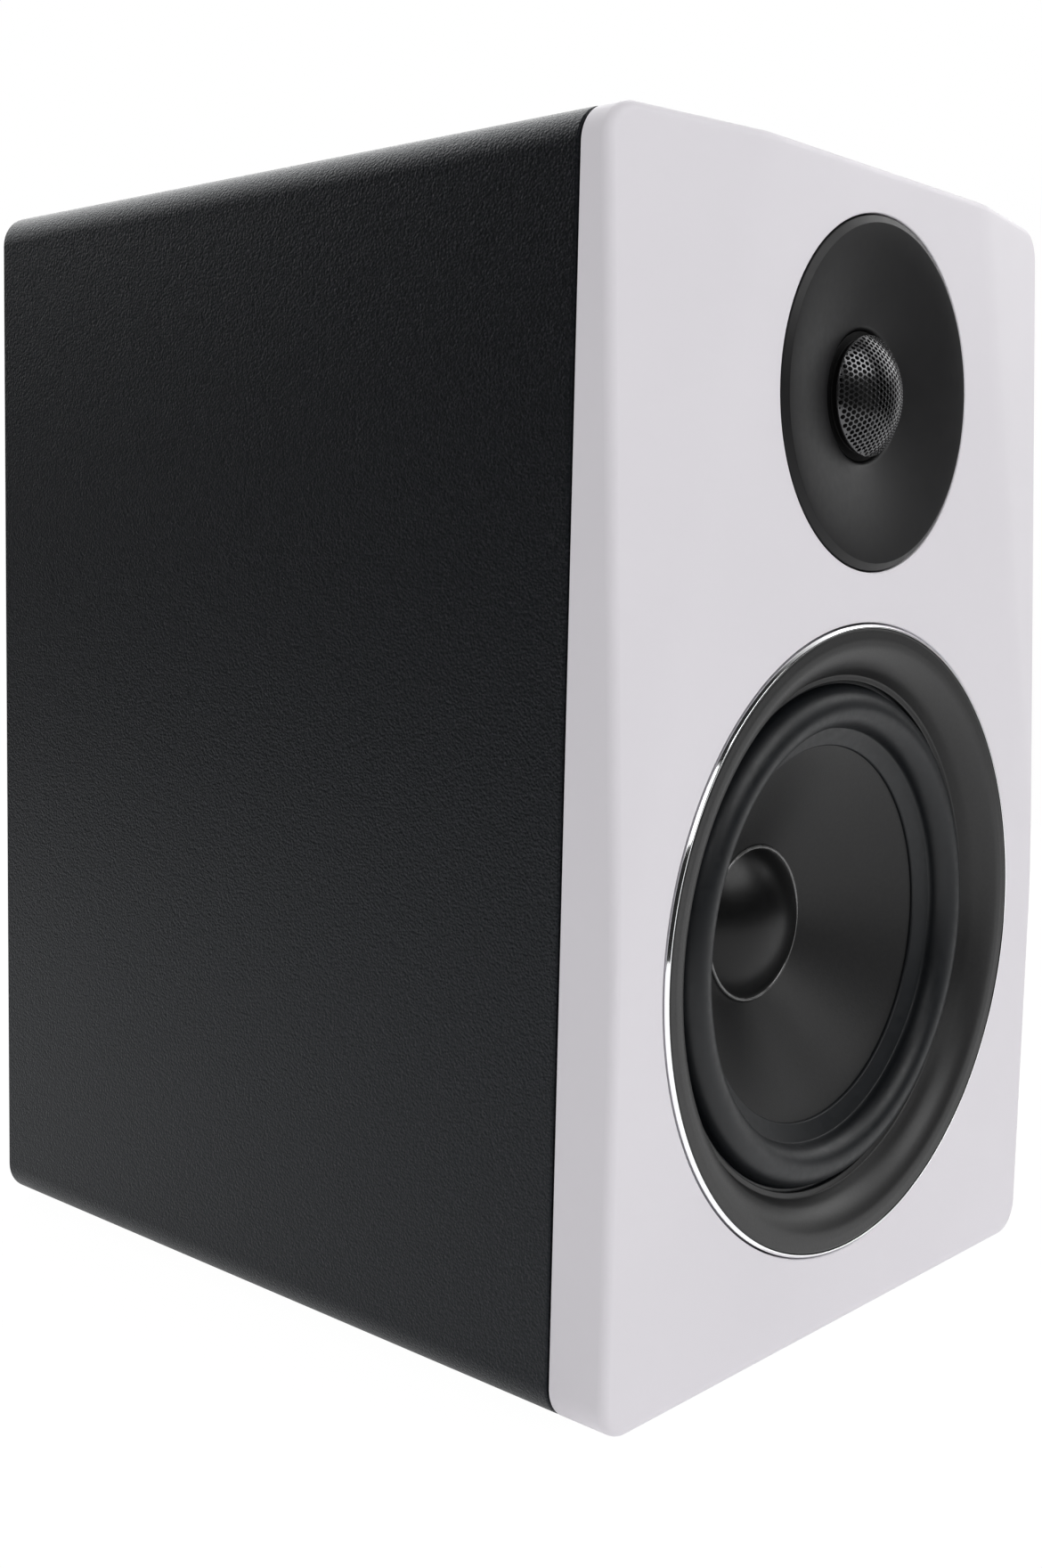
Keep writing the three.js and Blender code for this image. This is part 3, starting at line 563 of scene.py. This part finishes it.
# ---------------- cabinet
def add_cabinet_shell():
    half_height = (TOP - BOTTOM) / 2
    front_easing, back_easing = 0.7 * MM, 0.5 * MM

    def corner(radius, y, sign, steps=5):
        """(inset, y) pairs from the outline onto a flat end."""
        angles = [radians(90 * i / steps) for i in range(steps + 1)]
        return [(radius * (1 - cos(a)), y - sign * radius * (1 - sin(a))) for a in angles]

    outside = corner(front_easing, BOX_FRONT, -1)[::-1] + [(0, BOX_FRONT + 2 * MM), (0, REAR - 2 * MM)]
    outside += corner(back_easing, REAR, 1) + [(back_easing + 0.5 * MM, REAR)]
    stations = inset_stations(HALF_WIDTH, half_height, EDGE_RADIUS, outside)
    inner = (HALF_WIDTH - WALL, half_height - WALL, 1 * MM)
    lip = 0.8 * MM
    for i in range(4):
        a = radians(30 * i)
        grow = lip * (1 - sin(a))
        stations.append((inner[0] + grow, inner[1] + grow, inner[2] + grow, REAR - lip * (1 - cos(a))))
    stations += [(*inner, REAR - 3 * MM), (*inner, BOX_FRONT + 1 * MM), (*inner, BOX_FRONT)]
    shell = lofted("cabinet_shell_wrapped", stations, Vector((0, 0, (TOP + BOTTOM) / 2)), closed=True, angle=40)
    weighted(shell, 40)
    finished(shell, "cabinet_shell")


def add_front_baffle():
    """The gloss front: a rounded plate with two slanted facets, soft edges and two stepped bores."""
    half_height = (TOP - BOTTOM) / 2
    centre_z = (TOP + BOTTOM) / 2
    facet_half_top, facet_drop, facet_recess = 57.5 * MM, 215 * MM, 10.3 * MM
    bm = bmesh.new()
    outline = rounded_ring(HALF_WIDTH, half_height, EDGE_RADIUS, corner_steps=20)
    front = [bm.verts.new((x, FRONT, z + centre_z)) for x, z in outline]
    back = [bm.verts.new((x, BAFFLE_BACK, z + centre_z)) for x, z in outline]
    bm.faces.new(front)
    bm.faces.new(back)
    for i in range(len(front)):
        j = (i + 1) % len(front)
        bm.faces.new((front[i], front[j], back[j], back[i]))
    for side in (-1, 1):
        on_top = Vector((side * facet_half_top, FRONT, TOP))
        on_side = Vector((side * HALF_WIDTH, FRONT, TOP - facet_drop))
        at_corner = Vector((side * HALF_WIDTH, FRONT + facet_recess, TOP))
        normal = (on_side - on_top).cross(at_corner - on_top)
        if normal.y > 0:
            normal.negate()
        geometry = bm.verts[:] + bm.edges[:] + bm.faces[:]
        result = bmesh.ops.bisect_plane(bm, geom=geometry, plane_co=on_top, plane_no=normal, clear_outer=True,
                                        dist=1e-7)
        edges = [e for e in result["geom_cut"] if isinstance(e, bmesh.types.BMEdge)]
        bmesh.ops.edgeloop_fill(bm, edges=edges)
    bmesh.ops.remove_doubles(bm, verts=bm.verts[:], dist=1e-6)
    bmesh.ops.dissolve_degenerate(bm, edges=bm.edges[:], dist=1e-6)
    bmesh.ops.recalc_face_normals(bm, faces=bm.faces)
    weights = bm.edges.layers.float.new("bevel_weight_edge")
    crease, front_easing, back_easing = 5.0, 2.6, 0.7
    for edge in bm.edges:
        if len(edge.link_faces) != 2:
            continue
        bend = degrees(edge.calc_face_angle())
        at_back = all(v.co.y > BAFFLE_BACK - 1e-5 for v in edge.verts)
        if bend > 50:
            edge[weights] = (back_easing if at_back else front_easing) / crease
        elif bend > 9:
            edge[weights] = 1.0
    baffle = add_object("front_baffle_lacquered", bm, 40)
    bevel = baffle.modifiers.new("edges", "BEVEL")
    bevel.limit_method, bevel.width, bevel.segments = "WEIGHT", crease * MM, 6
    bevel.use_clamp_overlap = False
    baked(baffle)

    def bore_cutter(radius, seat_depth, cutout, place, segments):
        soft = 0.45
        rim = [(radius + soft - soft * sin(a), soft - soft * cos(a))
               for a in (radians(15 * i) for i in range(1, 7))]
        outline = [(0, -6), (radius + soft, -6), (radius + soft, 0.012), *rim, (radius, 2), (radius, seat_depth),
                   (cutout, seat_depth), (cutout, 26), (0, 26)]
        return turned("cutter", outline, place, segments, closed=False)

    cut(baffle, [bore_cutter(92.9, 13.4, WOOFER_CUTOUT, WOOFER, 192),
                 bore_cutter(49.9, 13.6, TWEETER_CUTOUT, TWEETER, 144)])
    weighted(baffle, 25)
    finished(baffle, "front_baffle")


def add_feet():
    for node in nodes_named("foot_"):
        low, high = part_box(node)
        place = Vector(((low.x + high.x) / 2, 0, (low.y + high.y) / 2))
        radius, height = (high.x - low.x) / 2 / MM, (high.z - low.z) / MM
        outline = eased([(0, 0), (radius - 0.6, 0, 0.4), (radius, height * 0.5, 0.4), (radius, height, 0.2),
                         (0, height)], closed=False)
        foot = turned(node + "_pad", outline, place, 64, closed=False)
        foot.data.transform(SWAP_YZ)
        foot.data.flip_normals()
        finished(foot, node)


# ---------------- woofer
def add_woofer():
    ring = turned("chrome_ring_polished", eased([
        (90.6, 9.1, 0.15), (92.4, 9.1, 0.15), (92.4, -0.1, 0.3), (91.75, -0.85, 0.15), (91.4, -0.85, 0.1),
        (91.4, 0.3, 0.1), (90.6, 0.7, 0.1)]), WOOFER, 192, angle=40)
    finished(ring, "chrome_ring")

    dish = flowing([(89.2, -0.7), (87.5, -0.62), (85, -0.1), (82.2, 1.6), (79.8, 4.2), (78.2, 7)])
    trim = turned("woofer_trim_moulding", eased([
        (90.2, 9.1, 0.1), (90.2, 0.4, 0.1), (91.2, 0.05, 0.1), (91.2, -0.6, 0.25), (90.6, -0.75, 0.3)]
        + dish + [(77.4, 8.3, 0.6), (75.7, 8.5, 0.3), (75.7, 9.2, 0.15), (79.8, 9.2, 0.2), (80.6, 6.3, 0.2),
                  (88.9, 6.3, 0.2), (88.9, 9.1, 0.1)]), WOOFER, 192, angle=40)
    finished(trim, "woofer_trim_ring")
    trim.data.materials[0] = look("satin_trim_moulding", (0.0105, 0.0105, 0.0108), 0.42, specular=0.5,
                                  mottle=(900, 0.2), gloss=0.05, relief=[("noise", 1500, 0.03)])

    roll = arc(68.2, 10.2, 6.2, 0, 180, 24)
    under = arc(68.2, 10.4, 5.3, 180, 0, 20)
    surround = turned("woofer_surround_roll", eased(
        [(80.2, 9.7, 0.1), (74.9, 9.75, 0.3)] + roll
        + [(61.7, 10.9, 0.4), (56.6, 13.15, 0.25), (56.3, 13.6), (56.3, 14.1), (61.4, 11.9, 0.2)] + under
        + [(74.6, 10.6, 0.2), (80.2, 10.6, 0.1)]), WOOFER, 160, angle=40)
    finished_bend(surround, "woofer_surround")

    face = flowing([(61.2, 12.3), (56.3, 14.4), (45, 21.9), (34, 29.4), (24, 36.2), (19.6, 39.4)], 4)
    cone = turned("woofer_cone_body", eased(face + [(19.6, 40.8, 0.3), (24, 37.4), (34, 30.6), (45, 23.1), (56.3, 15.6),
                                                    (61.2, 13.4, 0.3)]), WOOFER, 144)
    finished(cone, "woofer_cone")

    radius, base, height, thickness = 23.3, 36.0, 9.0, 0.8
    curve = (radius ** 2 + height ** 2) / (2 * height)
    spread = asin(radius / curve)

    def shell(shrink, steps=24):
        angles = [spread * i / steps for i in range(steps + 1)]
        return [((curve - shrink) * sin(a), base - height + curve - (curve - shrink) * cos(a))
                for a in angles]

    cap = turned("woofer_dust_cap_pressed", shell(0) + shell(thickness)[::-1], WOOFER, 128, closed=False)
    finished(cap, "woofer_dust_cap")
    cap.data.materials[0] = look("satin_dust_cap", (0.0013, 0.0014, 0.0016), 0.33, specular=0.31, mottle=(260, 0.1),
                                 gloss=0.03, relief=[("noise", 2000, 0.006)])
    bead = turned("woofer_dust_cap_glue", arc(23.5, 35.9, 0.6, 0, 360, 12)[:-1], WOOFER, 144)
    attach(bead, "woofer_diaphragm")
    bead.data.materials.append(look("clear_glue", (0.09, 0.09, 0.09), 0.16, specular=1.0, mottle=(500, 0.3), gloss=0.12,
                                    relief=[("noise", 500, 0.12)]))


def winding(inner, outer, start, end, wire):
    """The outline of a coil: turns of wire on its outer face, flat elsewhere."""
    count = max(3, round((end - start) / wire))
    step = (end - start) / count
    bumps = []
    for i in range(count):
        for share in (0.1, 0.3, 0.5, 0.7, 0.9):
            bumps.append((outer - 0.25 * step * (1 - sin(pi * share)), start + (i + share) * step))
    shoulder = outer - 0.3 * step
    return [(inner, start, 0.1), (shoulder, start, 0.1), *bumps, (shoulder, end, 0.1), (inner, end, 0.1)]


def add_woofer_motor():
    """The parts behind the cone: cast basket, spider, coil and magnet."""
    basket = turned("woofer_basket_cast", eased([
        (92, 9.4, 0.4), (80.9, 9.4, 0.2), (80.9, 11, 0.2), (75, 11, 0.8), (73.5, 14.5, 1.5), (56.8, 44, 1.5),
        (56.8, 46.5, 0.5), (49, 46.5, 0.5), (46.5, 55, 1.5), (22, 55, 0.4), (22, 58, 0.4), (50, 58, 1), (52.5, 50, 1.5),
        (59.8, 48.5, 1.5), (77.6, 16, 1), (77.6, 13.1, 0.6), (92, 13.1, 0.4)]), WOOFER, 120)
    cutters = []
    for i in range(6):
        window = lofted("cutter", [(19 * MM, 11 * MM, 5 * MM, y * MM) for y in (45, 105)], Vector(), closed=False,
                        corner_steps=5)
        turn = Matrix.Rotation((i + 0.5) * pi / 3, 4, "Y")
        window.data.transform(Matrix.Translation(WOOFER) @ turn @ Matrix.Translation((0, 31 * MM, 0)) @ SWAP_YZ)
        window.data.flip_normals()
        cutters.append(window)
    finished(cut(basket, cutters + screw_holes("woofer_screw", DRIVER_SCREW_HOLE, 5, 20, FRONT)), "woofer_basket")

    inner, outer, start, bends_count = 19.6, 55.5, 45.2, 6
    wave = flowing([(inner + (outer - inner) * i / bends_count,
                     start + (0 if i in (0, bends_count) else -1.2 if i % 2 else 0.2)) for i in range(bends_count + 1)])
    spider = turned("woofer_spider_cloth", wave + [(r, depth + 0.75) for r, depth in wave[::-1]], WOOFER, 128)
    finished_bend(spider, "woofer_spider")

    add_turned({
        "woofer_coil_former": [(18.85, 37.5), (19.25, 37.5), (19.25, 68), (18.85, 68)],
        "woofer_voice_coil": winding(19.55, 20.3, 54.9, 67.9, 0.5),
        "woofer_top_plate": [(21, 58.4, 0.2), (46, 58.4, 0.6), (46, 64.4, 0.6), (21, 64.4, 0.2)],
        "woofer_magnet": [(27, 64.8, 1), (50, 64.8, 1.5), (50, 82.8, 1.5), (27, 82.8, 1)],
        "woofer_yoke": [(5, 58.4, 1), (18.1, 58.4, 0.6), (18.1, 83.2, 1.5), (46, 83.2, 0.4), (46, 87.2, 0.8),
                        (43, 89.2, 0.8), (5, 89.2, 1)],
    }, WOOFER, 128)
    add_screws("woofer_screw", [(0, 6.7), (1.4, 6.75), (2.6, 7.0), (3.3, 7.7), (3.5, 8.4, 0.2), (3.5, 9.1, 0.2),
                                (2, 9.1, 0.2)], threaded(2.0, 1.68, 10, 0.5, 34), 30, FRONT, (6.7 - 2.2, 1.7, 0.4))


# ---------------- tweeter
def perforated_dome(place):
    """A pressed dome of staggered round holes, smaller next to the rim, with a short turned-down edge."""
    curve, apex, skirt_radius, skirt_end, thickness = 24.4, -3.8, 17.0, 3.55, 0.42
    pitch, hole, lip, dip = 1.7, 0.62, 0.09, 0.13
    spread = asin(skirt_radius / curve)
    flat_radius = curve * spread
    bm = bmesh.new()
    known = {}

    def vertex(u, v, sunk=0.0):
        u, v = -v, u  # a quarter turn, so that one row direction of the holes is upright
        flat = hypot(u, v)
        if flat > flat_radius:
            u, v, flat = u * flat_radius / flat, v * flat_radius / flat, flat_radius
        key = (round(u, 3), round(v, 3))
        if key not in known:
            angle = flat / curve
            r = (curve - sunk) * sin(angle)
            depth = apex + curve - (curve - sunk) * cos(angle)
            around = atan2(v, u)
            known[key] = bm.verts.new(place + MM * Vector((r * cos(around), depth, r * sin(around))))
        return known[key]

    reach = int(flat_radius / pitch) + 3
    for row in range(-reach, reach + 1):
        for column in range(-reach, reach + 1):
            cu, cv = (column + 0.5 * (row % 2)) * pitch, row * pitch * sqrt(3) / 2
            centre = hypot(cu, cv)
            if centre > flat_radius + pitch:
                continue
            turns = [radians(30 * i) for i in range(12)]
            border = [vertex(cu + r * cos(a), cv + r * sin(a))
                      for a, r in zip(turns, 6 * (pitch / 2, pitch / sqrt(3)))]
            bore = min(hole, flat_radius - 0.1 - lip - centre)
            if bore > 0.2:
                rim = [vertex(cu + (bore + lip) * cos(a), cv + (bore + lip) * sin(a)) for a in turns]
                edge = [vertex(cu + bore * cos(a), cv + bore * sin(a), dip) for a in turns]
                for one, two in ((border, rim), (rim, edge)):
                    for i in range(12):
                        j = (i + 1) % 12
                        bm.faces.new((one[i], one[j], two[j], two[i]))
                continue
            loop = list(dict.fromkeys(border))
            inside = [v for v in loop
                      if hypot(v.co.x - place.x, v.co.z - place.z) < (skirt_radius - 1e-3) * MM]
            if len(loop) > 2 and inside:
                bm.faces.new(loop)
    rim_edges = [e for e in bm.edges if len(e.link_faces) == 1
                 and all(hypot(v.co.x - place.x, v.co.z - place.z) > (skirt_radius - 1e-3) * MM for v in e.verts)]
    skirt = bmesh.ops.extrude_edge_only(bm, edges=rim_edges)["geom"]
    for v in skirt:
        if isinstance(v, bmesh.types.BMVert):
            v.co.y = place.y + skirt_end * MM
    bmesh.ops.remove_doubles(bm, verts=bm.verts[:], dist=1e-7)
    dome = add_object("tweeter_guard_perforated", bm)
    if sum(p.normal.y * p.area for p in dome.data.polygons) > 0:
        dome.data.flip_normals()
    solid = dome.modifiers.new("sheet", "SOLIDIFY")
    solid.thickness, solid.offset = thickness * MM, -1
    return baked(dome, 50)


def add_tweeter():
    rim, throat = (47.3, -1.1), (18.5, 5.2)
    dish = [(rim[0] + (throat[0] - rim[0]) * s, rim[1] + (throat[1] - rim[1]) * s ** 1.5)
            for s in (i / 30 for i in range(1, 28))]
    guide = turned("tweeter_waveguide_moulding", eased(
        [(49.4, 13.2, 0.2), (49.4, 0.1, 0.5), (rim[0], rim[1], 0.25)] + dish
        + [(throat[0], throat[1] + 0.1, 1.8), (18.5, 10, 0.15), (20.5, 10, 0.15), (20.5, 8.8, 0.3), (26, 7.4, 0.5),
           (34, 4.4, 0.5), (46.6, 2.4, 0.5), (46.6, 13.2, 0.2)]), TWEETER, 144, angle=45)
    finished(guide, "tweeter_waveguide")
    finished(perforated_dome(TWEETER), "tweeter_mesh")
    seat = turned("tweeter_guard_seat", eased([
        (15.8, 2.95, 0.1), (15.8, 5.9, 0.3), (18.2, 5.9, 0.15), (18.2, 6.4, 0.15), (15.3, 6.4, 0.2),
        (15.3, 2.75, 0.1)]), TWEETER, 144)
    finished(seat, look_slot="guard_mesh")
    # Painted shade: the seat's own black is made near-black to stand for the shade deep in the narrow throat.
    seat.data.materials[0] = PAINTED_SHADE_BLACK
    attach(seat, "cabinet")

    chassis = turned("tweeter_chassis_plate", eased([
        (13.9, 10.4, 0.3), (46.2, 10.4, 0.4), (46.2, 13.3, 0.4), (13.9, 13.3, 0.3)]), TWEETER, 128)
    finished(cut(chassis, screw_holes("tweeter_screw", DRIVER_SCREW_HOLE, 5, 18, FRONT)), "tweeter_chassis")
    half_roll = [(13.1, 9.3), (13.5, 8.7), (14.2, 8.4), (14.9, 8.7), (15.3, 9.5)]
    under = [(15, 10.1), (14.7, 9.3), (14.2, 9), (13.7, 9.3), (13.6, 9.9)]
    surround = turned("tweeter_surround_roll", flowing(half_roll, 4) + [(16.4, 9.6), (16.4, 10.1)] + flowing(under, 4)
                      + [(13.1, 9.9)], TWEETER, 96)
    finished_bend(surround, "tweeter_surround")
    dome = flowing([(0, 4.6), (4.4, 5.1), (8.6, 6.7), (12.7, 9.5)], 5)
    back = flowing([(12.3, 9.8), (8.4, 7.2), (4.3, 5.6), (0, 5.1)], 5)
    dome[0], back[-1] = (0, dome[0][1]), (0, back[-1][1])
    silk = turned("tweeter_dome_pressed", dome + back, TWEETER, 96, closed=False)
    finished(silk, "tweeter_dome")
    # Painted shade: the dome's own black is made darker to stand for the shade it sits in behind the guard.
    silk.data.materials[0] = PAINTED_SHADE_BLACK
    add_turned({
        "tweeter_voice_coil": winding(12.5, 13.1, 10.2, 17, 0.4),
        "tweeter_top_plate": [(13.6, 13.6, 0.2), (33, 13.6, 0.5), (33, 16.6, 0.5), (13.6, 16.6, 0.2)],
        "tweeter_magnet": [(20, 16.9, 0.6), (34, 16.9, 1), (34, 26.9, 1), (20, 26.9, 0.6)],
    }, TWEETER, 96)
    add_turned({
        "tweeter_yoke": [(0, 13.6), (12.1, 13.6, 0.5), (12.1, 27.2, 0.8), (33.5, 27.2, 0.4), (33.5, 31.2, 0.8),
                         (0, 31.2)],
        "tweeter_rear_cup": [(0, 46), (31.5, 46, 1.5), (31.5, 31.5, 0.4), (34, 31.5, 0.4), (34, 46.5, 0.8),
                             (32.5, 48, 0.8), (0, 48)],
    }, TWEETER, 96, closed=False)
    add_screws("tweeter_screw", [(0, 7.8), (1.4, 7.85), (2.6, 8.1), (3.3, 8.7), (3.5, 9.4, 0.2), (3.5, 10.1, 0.2),
                                 (2, 10.1, 0.2)], threaded(2.0, 1.68, 10.6, 0.5, 9), 17, FRONT, (7.8 - 2.2, 1.7, 0.4))


# ---------------- rear
def add_rear_panel():
    low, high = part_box("rear_panel")
    half_width, half_height = (high.x - low.x) / 2, (high.z - low.z) / 2
    soft = 0.5 * MM
    path = [(soft, low.y), (0, low.y + soft), (0, high.y - soft), (soft * 0.3, high.y - soft * 0.3), (soft, high.y)]
    place = Vector((0, 0, (low.z + high.z) / 2))
    panel = lofted("rear_panel_board", inset_stations(half_width, half_height, 1 * MM, path), place, closed=False)
    opening = lofted("cutter", [(34.3 * MM, 24.3 * MM, 1 * MM, y) for y in (-0.02, 0.01)], CUP, closed=False)
    holes = screw_holes("terminal_screw", TERMINAL_SCREW_HOLE, -20, 5, PANEL_OUTSIDE)
    finished(cut(panel, [disc_cutter(33.3, -20, 5, PORT, 96), opening, *holes]), "rear_panel")


def add_port():
    mouth = flowing([(36.5, 2.6), (33, 1.4), (29.2, -1.2), (26.4, -4.6), (24.8, -8.5), (24.3, -12)])
    flare = turned("port_flare_moulding", eased(
        [(27, -12, 0.2), (28, -9, 0.4), (33, -1.8, 0.4), (33, 0.3, 0.2), (41, 0.3, 0.2), (41, 1.8, 0.6), (40, 2.6, 0.9)]
        + mouth), PORT, 160)
    finished(flare, "port_flare")
    low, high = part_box("port_tube")
    start, end = (low.y - PORT.y) / MM, (high.y - PORT.y) / MM
    tube = turned("port_tube_moulding", eased([
        (24, start, 0.5), (24, end, 0.3), (26, end, 0.3), (26, start, 0.5)]), PORT, 128)
    finished(tube, "port_tube")


def add_terminals():
    """The recessed cup, its screws, and two binding posts with ribbed caps."""
    stations = [
        (33.4, 23.4, 2.4, -20), (34, 24, 3, -19.4), (34, 24, 3, 0.1), (34.2, 24.2, 3.2, 0.3), (42.7, 32.7, 5.7, 0.3),
        (43, 33, 6, 0.6), (43, 33, 6, 1.6), (42.8, 32.8, 5.8, 2.1), (42.3, 32.3, 5.3, 2.4), (41.7, 31.7, 4.7, 2.5),
        (33.6, 23.6, 3.9, 2.5), (33, 23, 3.3, 2.42), (32.5, 22.5, 2.8, 2.15), (32.2, 22.2, 2.5, 1.7),
        (32, 22, 2.4, 0.4), (31.6, 21.6, 2.2, -16.4), (31.4, 21.4, 2, -17.1), (31, 21, 1.7, -17.7),
        (30.3, 20.3, 1.2, -18),
    ]
    cup = lofted("terminal_cup_moulding", [tuple(v * MM for v in station) for station in stations], CUP, closed=False)
    ridges = [turned("cutter", eased([(8.6, -18.3), (9.4, -18.3), (9.4, -17.75, 0.2), (8.6, -17.75, 0.2)]),
                     CUP + Vector((side * POST_OFFSET, 0, 0)), 96) for side in (-1, 1)]
    for ridge in ridges:
        ridge.data.transform(Matrix.Translation((0, -0.05 * MM, 0)))
    posts = [disc_cutter(2.8, -30, -10, CUP + Vector((side * POST_OFFSET, 0, 0)), 32) for side in (-1, 1)]
    holes = screw_holes("terminal_screw", TERMINAL_SCREW_HOLE, -5, 5, PANEL_OUTSIDE)
    finished(cut(cup, [*ridges, *posts, *holes]), "terminal_cup")

    face = 2.8  # pan heads on the cup's flange, whose depths grow outwards
    add_screws("terminal_screw", [(0, face + 1.7), (1.2, face + 1.66), (2.1, face + 1.4), (2.7, face + 0.85),
                                  (2.9, face + 0.3, 0.1), (2.85, face, 0.1), (1.4, face, 0.2)],
               threaded(1.4, 1.15, face - 1.2, -0.45, 22), -11, PANEL_OUTSIDE, (face + 0.75, 1.5, 0.36))
    for colour, side in (("black", -1), ("red", 1)):
        place = CUP + Vector((side * POST_OFFSET, CUP_FLOOR * MM, 0))
        stud = turned(f"{colour}_stud_turned", eased([
            (0, -9), (2.3, -9, 0.2), (2.5, -8.5), (2.5, 0.3, 0.1), (5.5, 0.3, 0.2), (5.5, 3, 0.35), (2.5, 3, 0.2),
            (2.5, 16.3), (2, 17, 0.2), (1.7, 17, 0.1), (1.5, 14), (0, 13.6)], closed=False), place, 64, closed=False)
        finished(stud, f"{colour}_post_stud")
        washer = turned(f"{colour}_washer_turned", eased([
            (2.9, 3.3, 0.15), (5.4, 3.3, 0.25), (5.4, 4.3, 0.25), (2.9, 4.3, 0.15)]), place, 64)
        finished(washer, f"{colour}_post_washer")

        def ribbed(radius, depth, turn):
            grip = min(1.0, max(0.0, (depth - 6.4) / 1.2), max(0.0, (18.2 - depth) / 1.2))
            return radius - (0.45 * grip * (0.5 - 0.5 * cos(18 * turn)) ** 0.7 if radius > 5.5 else 0.0)

        side_wall = [(5.9, 6.1 + 0.4 * i) for i in range(31)]
        cap = turned(f"{colour}_cap_ribbed", eased([(2.9, 4.6, 0.2), (5.4, 4.6, 0.3), (5.9, 5.6, 0.4)] + side_wall
                     + [(5.9, 18.6, 0.5), (5.1, 19.6, 0.5), (2.2, 19.6, 0.4), (2.2, 17.8, 0.1), (2.9, 17.8, 0.1)]),
                     place, 216, flute=ribbed, angle=50)
        finished(cap, f"{colour}_post_cap")


# ---------------- inside
def board(name, node, radius, soft, cutters):
    """A flat board on edge that fills its CAD node's box, with rounded arrises and openings."""
    low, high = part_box(node)
    half_width, half_height = (high.x - low.x) / 2, (high.z - low.z) / 2
    path = [(soft, low.y), (soft * 0.3, low.y + soft * 0.3), (0, low.y + soft), (0, high.y - soft),
            (soft * 0.3, high.y - soft * 0.3), (soft, high.y)]
    place = Vector((0, 0, (low.z + high.z) / 2))
    piece = lofted(name, inset_stations(half_width, half_height, radius, path), place, closed=False)
    finished(cut(piece, cutters), node)


def add_inside():
    """Boards, wadding and the crossover: not seen from outside."""
    start = (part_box("inner_baffle")[0].y - FRONT) / MM - 2
    end = start + 20
    cutters = [disc_cutter(WOOFER_CUTOUT, start, end, WOOFER, 128),
               disc_cutter(TWEETER_CUTOUT, start, end, TWEETER, 96)]
    cutters += screw_holes("woofer_screw", DRIVER_SCREW_HOLE, start, end, FRONT)
    board("inner_baffle_board", "inner_baffle", 1 * MM, 0.6 * MM, cutters)

    low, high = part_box("window_brace")
    border = 24 * MM
    width = (high.x - low.x) / 2 + 0.3 * MM - border
    height = (high.z - low.z + 0.6 * MM - 3 * border) / 4
    windows = [lofted("cutter", [(width, height, 9 * MM, y) for y in (low.y - 0.01, high.y + 0.01)],
                      Vector((0, 0, (low.z + high.z) / 2 + side * (height + border / 2))), closed=False)
               for side in (-1, 1)]
    board("window_brace_board", "window_brace", 1 * MM, 0.6 * MM, windows)

    for node in ("damping_pad_left", "damping_pad_right"):
        add_wadding(node)
    add_crossover()


def add_wadding(node):
    """A mat of wadding: a crowned closed form, thinner at its edges, with shallow tufts."""
    low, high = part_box(node)
    centre, half = (low + high) / 2, (high - low) / 2
    bm = bmesh.new()
    bmesh.ops.create_cube(bm, size=2)
    bmesh.ops.subdivide_edges(bm, edges=bm.edges[:], cuts=23, use_grid_fill=True)
    for v in bm.verts:
        u, w = v.co.y, v.co.z
        crown = ((1 - abs(u) ** 6) * (1 - abs(w) ** 8)) ** 0.5
        tuft = 0.5 + 0.5 * cos(3 * pi * u) * cos(6 * pi * w)
        ripple = sin(37 * u + 11 * w) * sin(29 * w - 7 * u)
        thick = 0.55 + 0.33 * crown + 0.06 * tuft * crown + 0.03 * ripple
        v.co = Vector((v.co.x * thick * half.x, u * half.y * 0.985, w * half.z * 0.99))
    pad = add_object(node + "_wadding", bm, 180)
    subdivision = pad.modifiers.new("soft", "SUBSURF")
    subdivision.levels = subdivision.render_levels = 1
    baked(pad, 180)
    pad.data.transform(Matrix.Translation(centre))
    finished(pad, node)


def upright(obj, place):
    """Turns a piece made along +Y to stand along +Z at place."""
    obj.data.transform(Matrix.Translation(place) @ Matrix.Rotation(pi / 2, 4, "X"))
    return obj


def lying(obj, place):
    """Turns a piece made along +Y to lie along +X at place."""
    obj.data.transform(Matrix.Translation(place) @ Matrix.Rotation(-pi / 2, 4, "Z"))
    return obj


def add_crossover():
    low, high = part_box("crossover_board")
    centre, half = (low + high) / 2, (high - low) / 2
    soft = 0.2 * MM
    path = [(soft, -half.z), (0, soft - half.z), (0, half.z - soft), (soft, half.z)]
    plate = lofted("crossover_circuit_board", inset_stations(half.x, half.y, 3 * MM, path), Vector(), closed=False)
    finished(upright(plate, centre), "crossover_board")
    for node, inner in (("woofer_inductor", 11), ("tweeter_inductor", 8)):
        low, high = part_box(node)
        centre = (low + high) / 2
        outer, tall = (high.x - low.x) / 2 / MM, (high.z - low.z) / MM
        coil = turned(node + "_wound", eased(winding(inner, outer, -tall / 2, tall / 2, 1.1)), Vector(), 96)
        finished(upright(coil, centre), node)
    for node in ("large_capacitor", "small_capacitor"):
        low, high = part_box(node)
        centre = (low + high) / 2
        radius, half_length = (high.z - low.z) / 2 / MM, (high.x - low.x) / 2 / MM
        outline = [(0, -half_length + 0.6), (radius - 1.6, -half_length + 0.6, 0.4), (radius - 1.2, -half_length, 0.4),
                   (radius, -half_length, 0.9), (radius, half_length, 0.9), (radius - 1.2, half_length, 0.4),
                   (radius - 1.6, half_length - 0.6, 0.4), (0, half_length - 0.6)]
        can = turned(node + "_wrapped", eased(outline, closed=False), Vector(), 64, closed=False)
        finished(lying(can, centre), node)


# ---------------- all of it
add_camera()
add_studio()
add_cabinet_shell()
add_front_baffle()
add_feet()
add_woofer()
add_woofer_motor()
add_tweeter()
add_rear_panel()
add_port()
add_terminals()
add_inside()

for node_name, node in frame["nodes"].items():
    node.data.materials.clear()
    node.data.materials.append(looks[slot_of[node_name]])
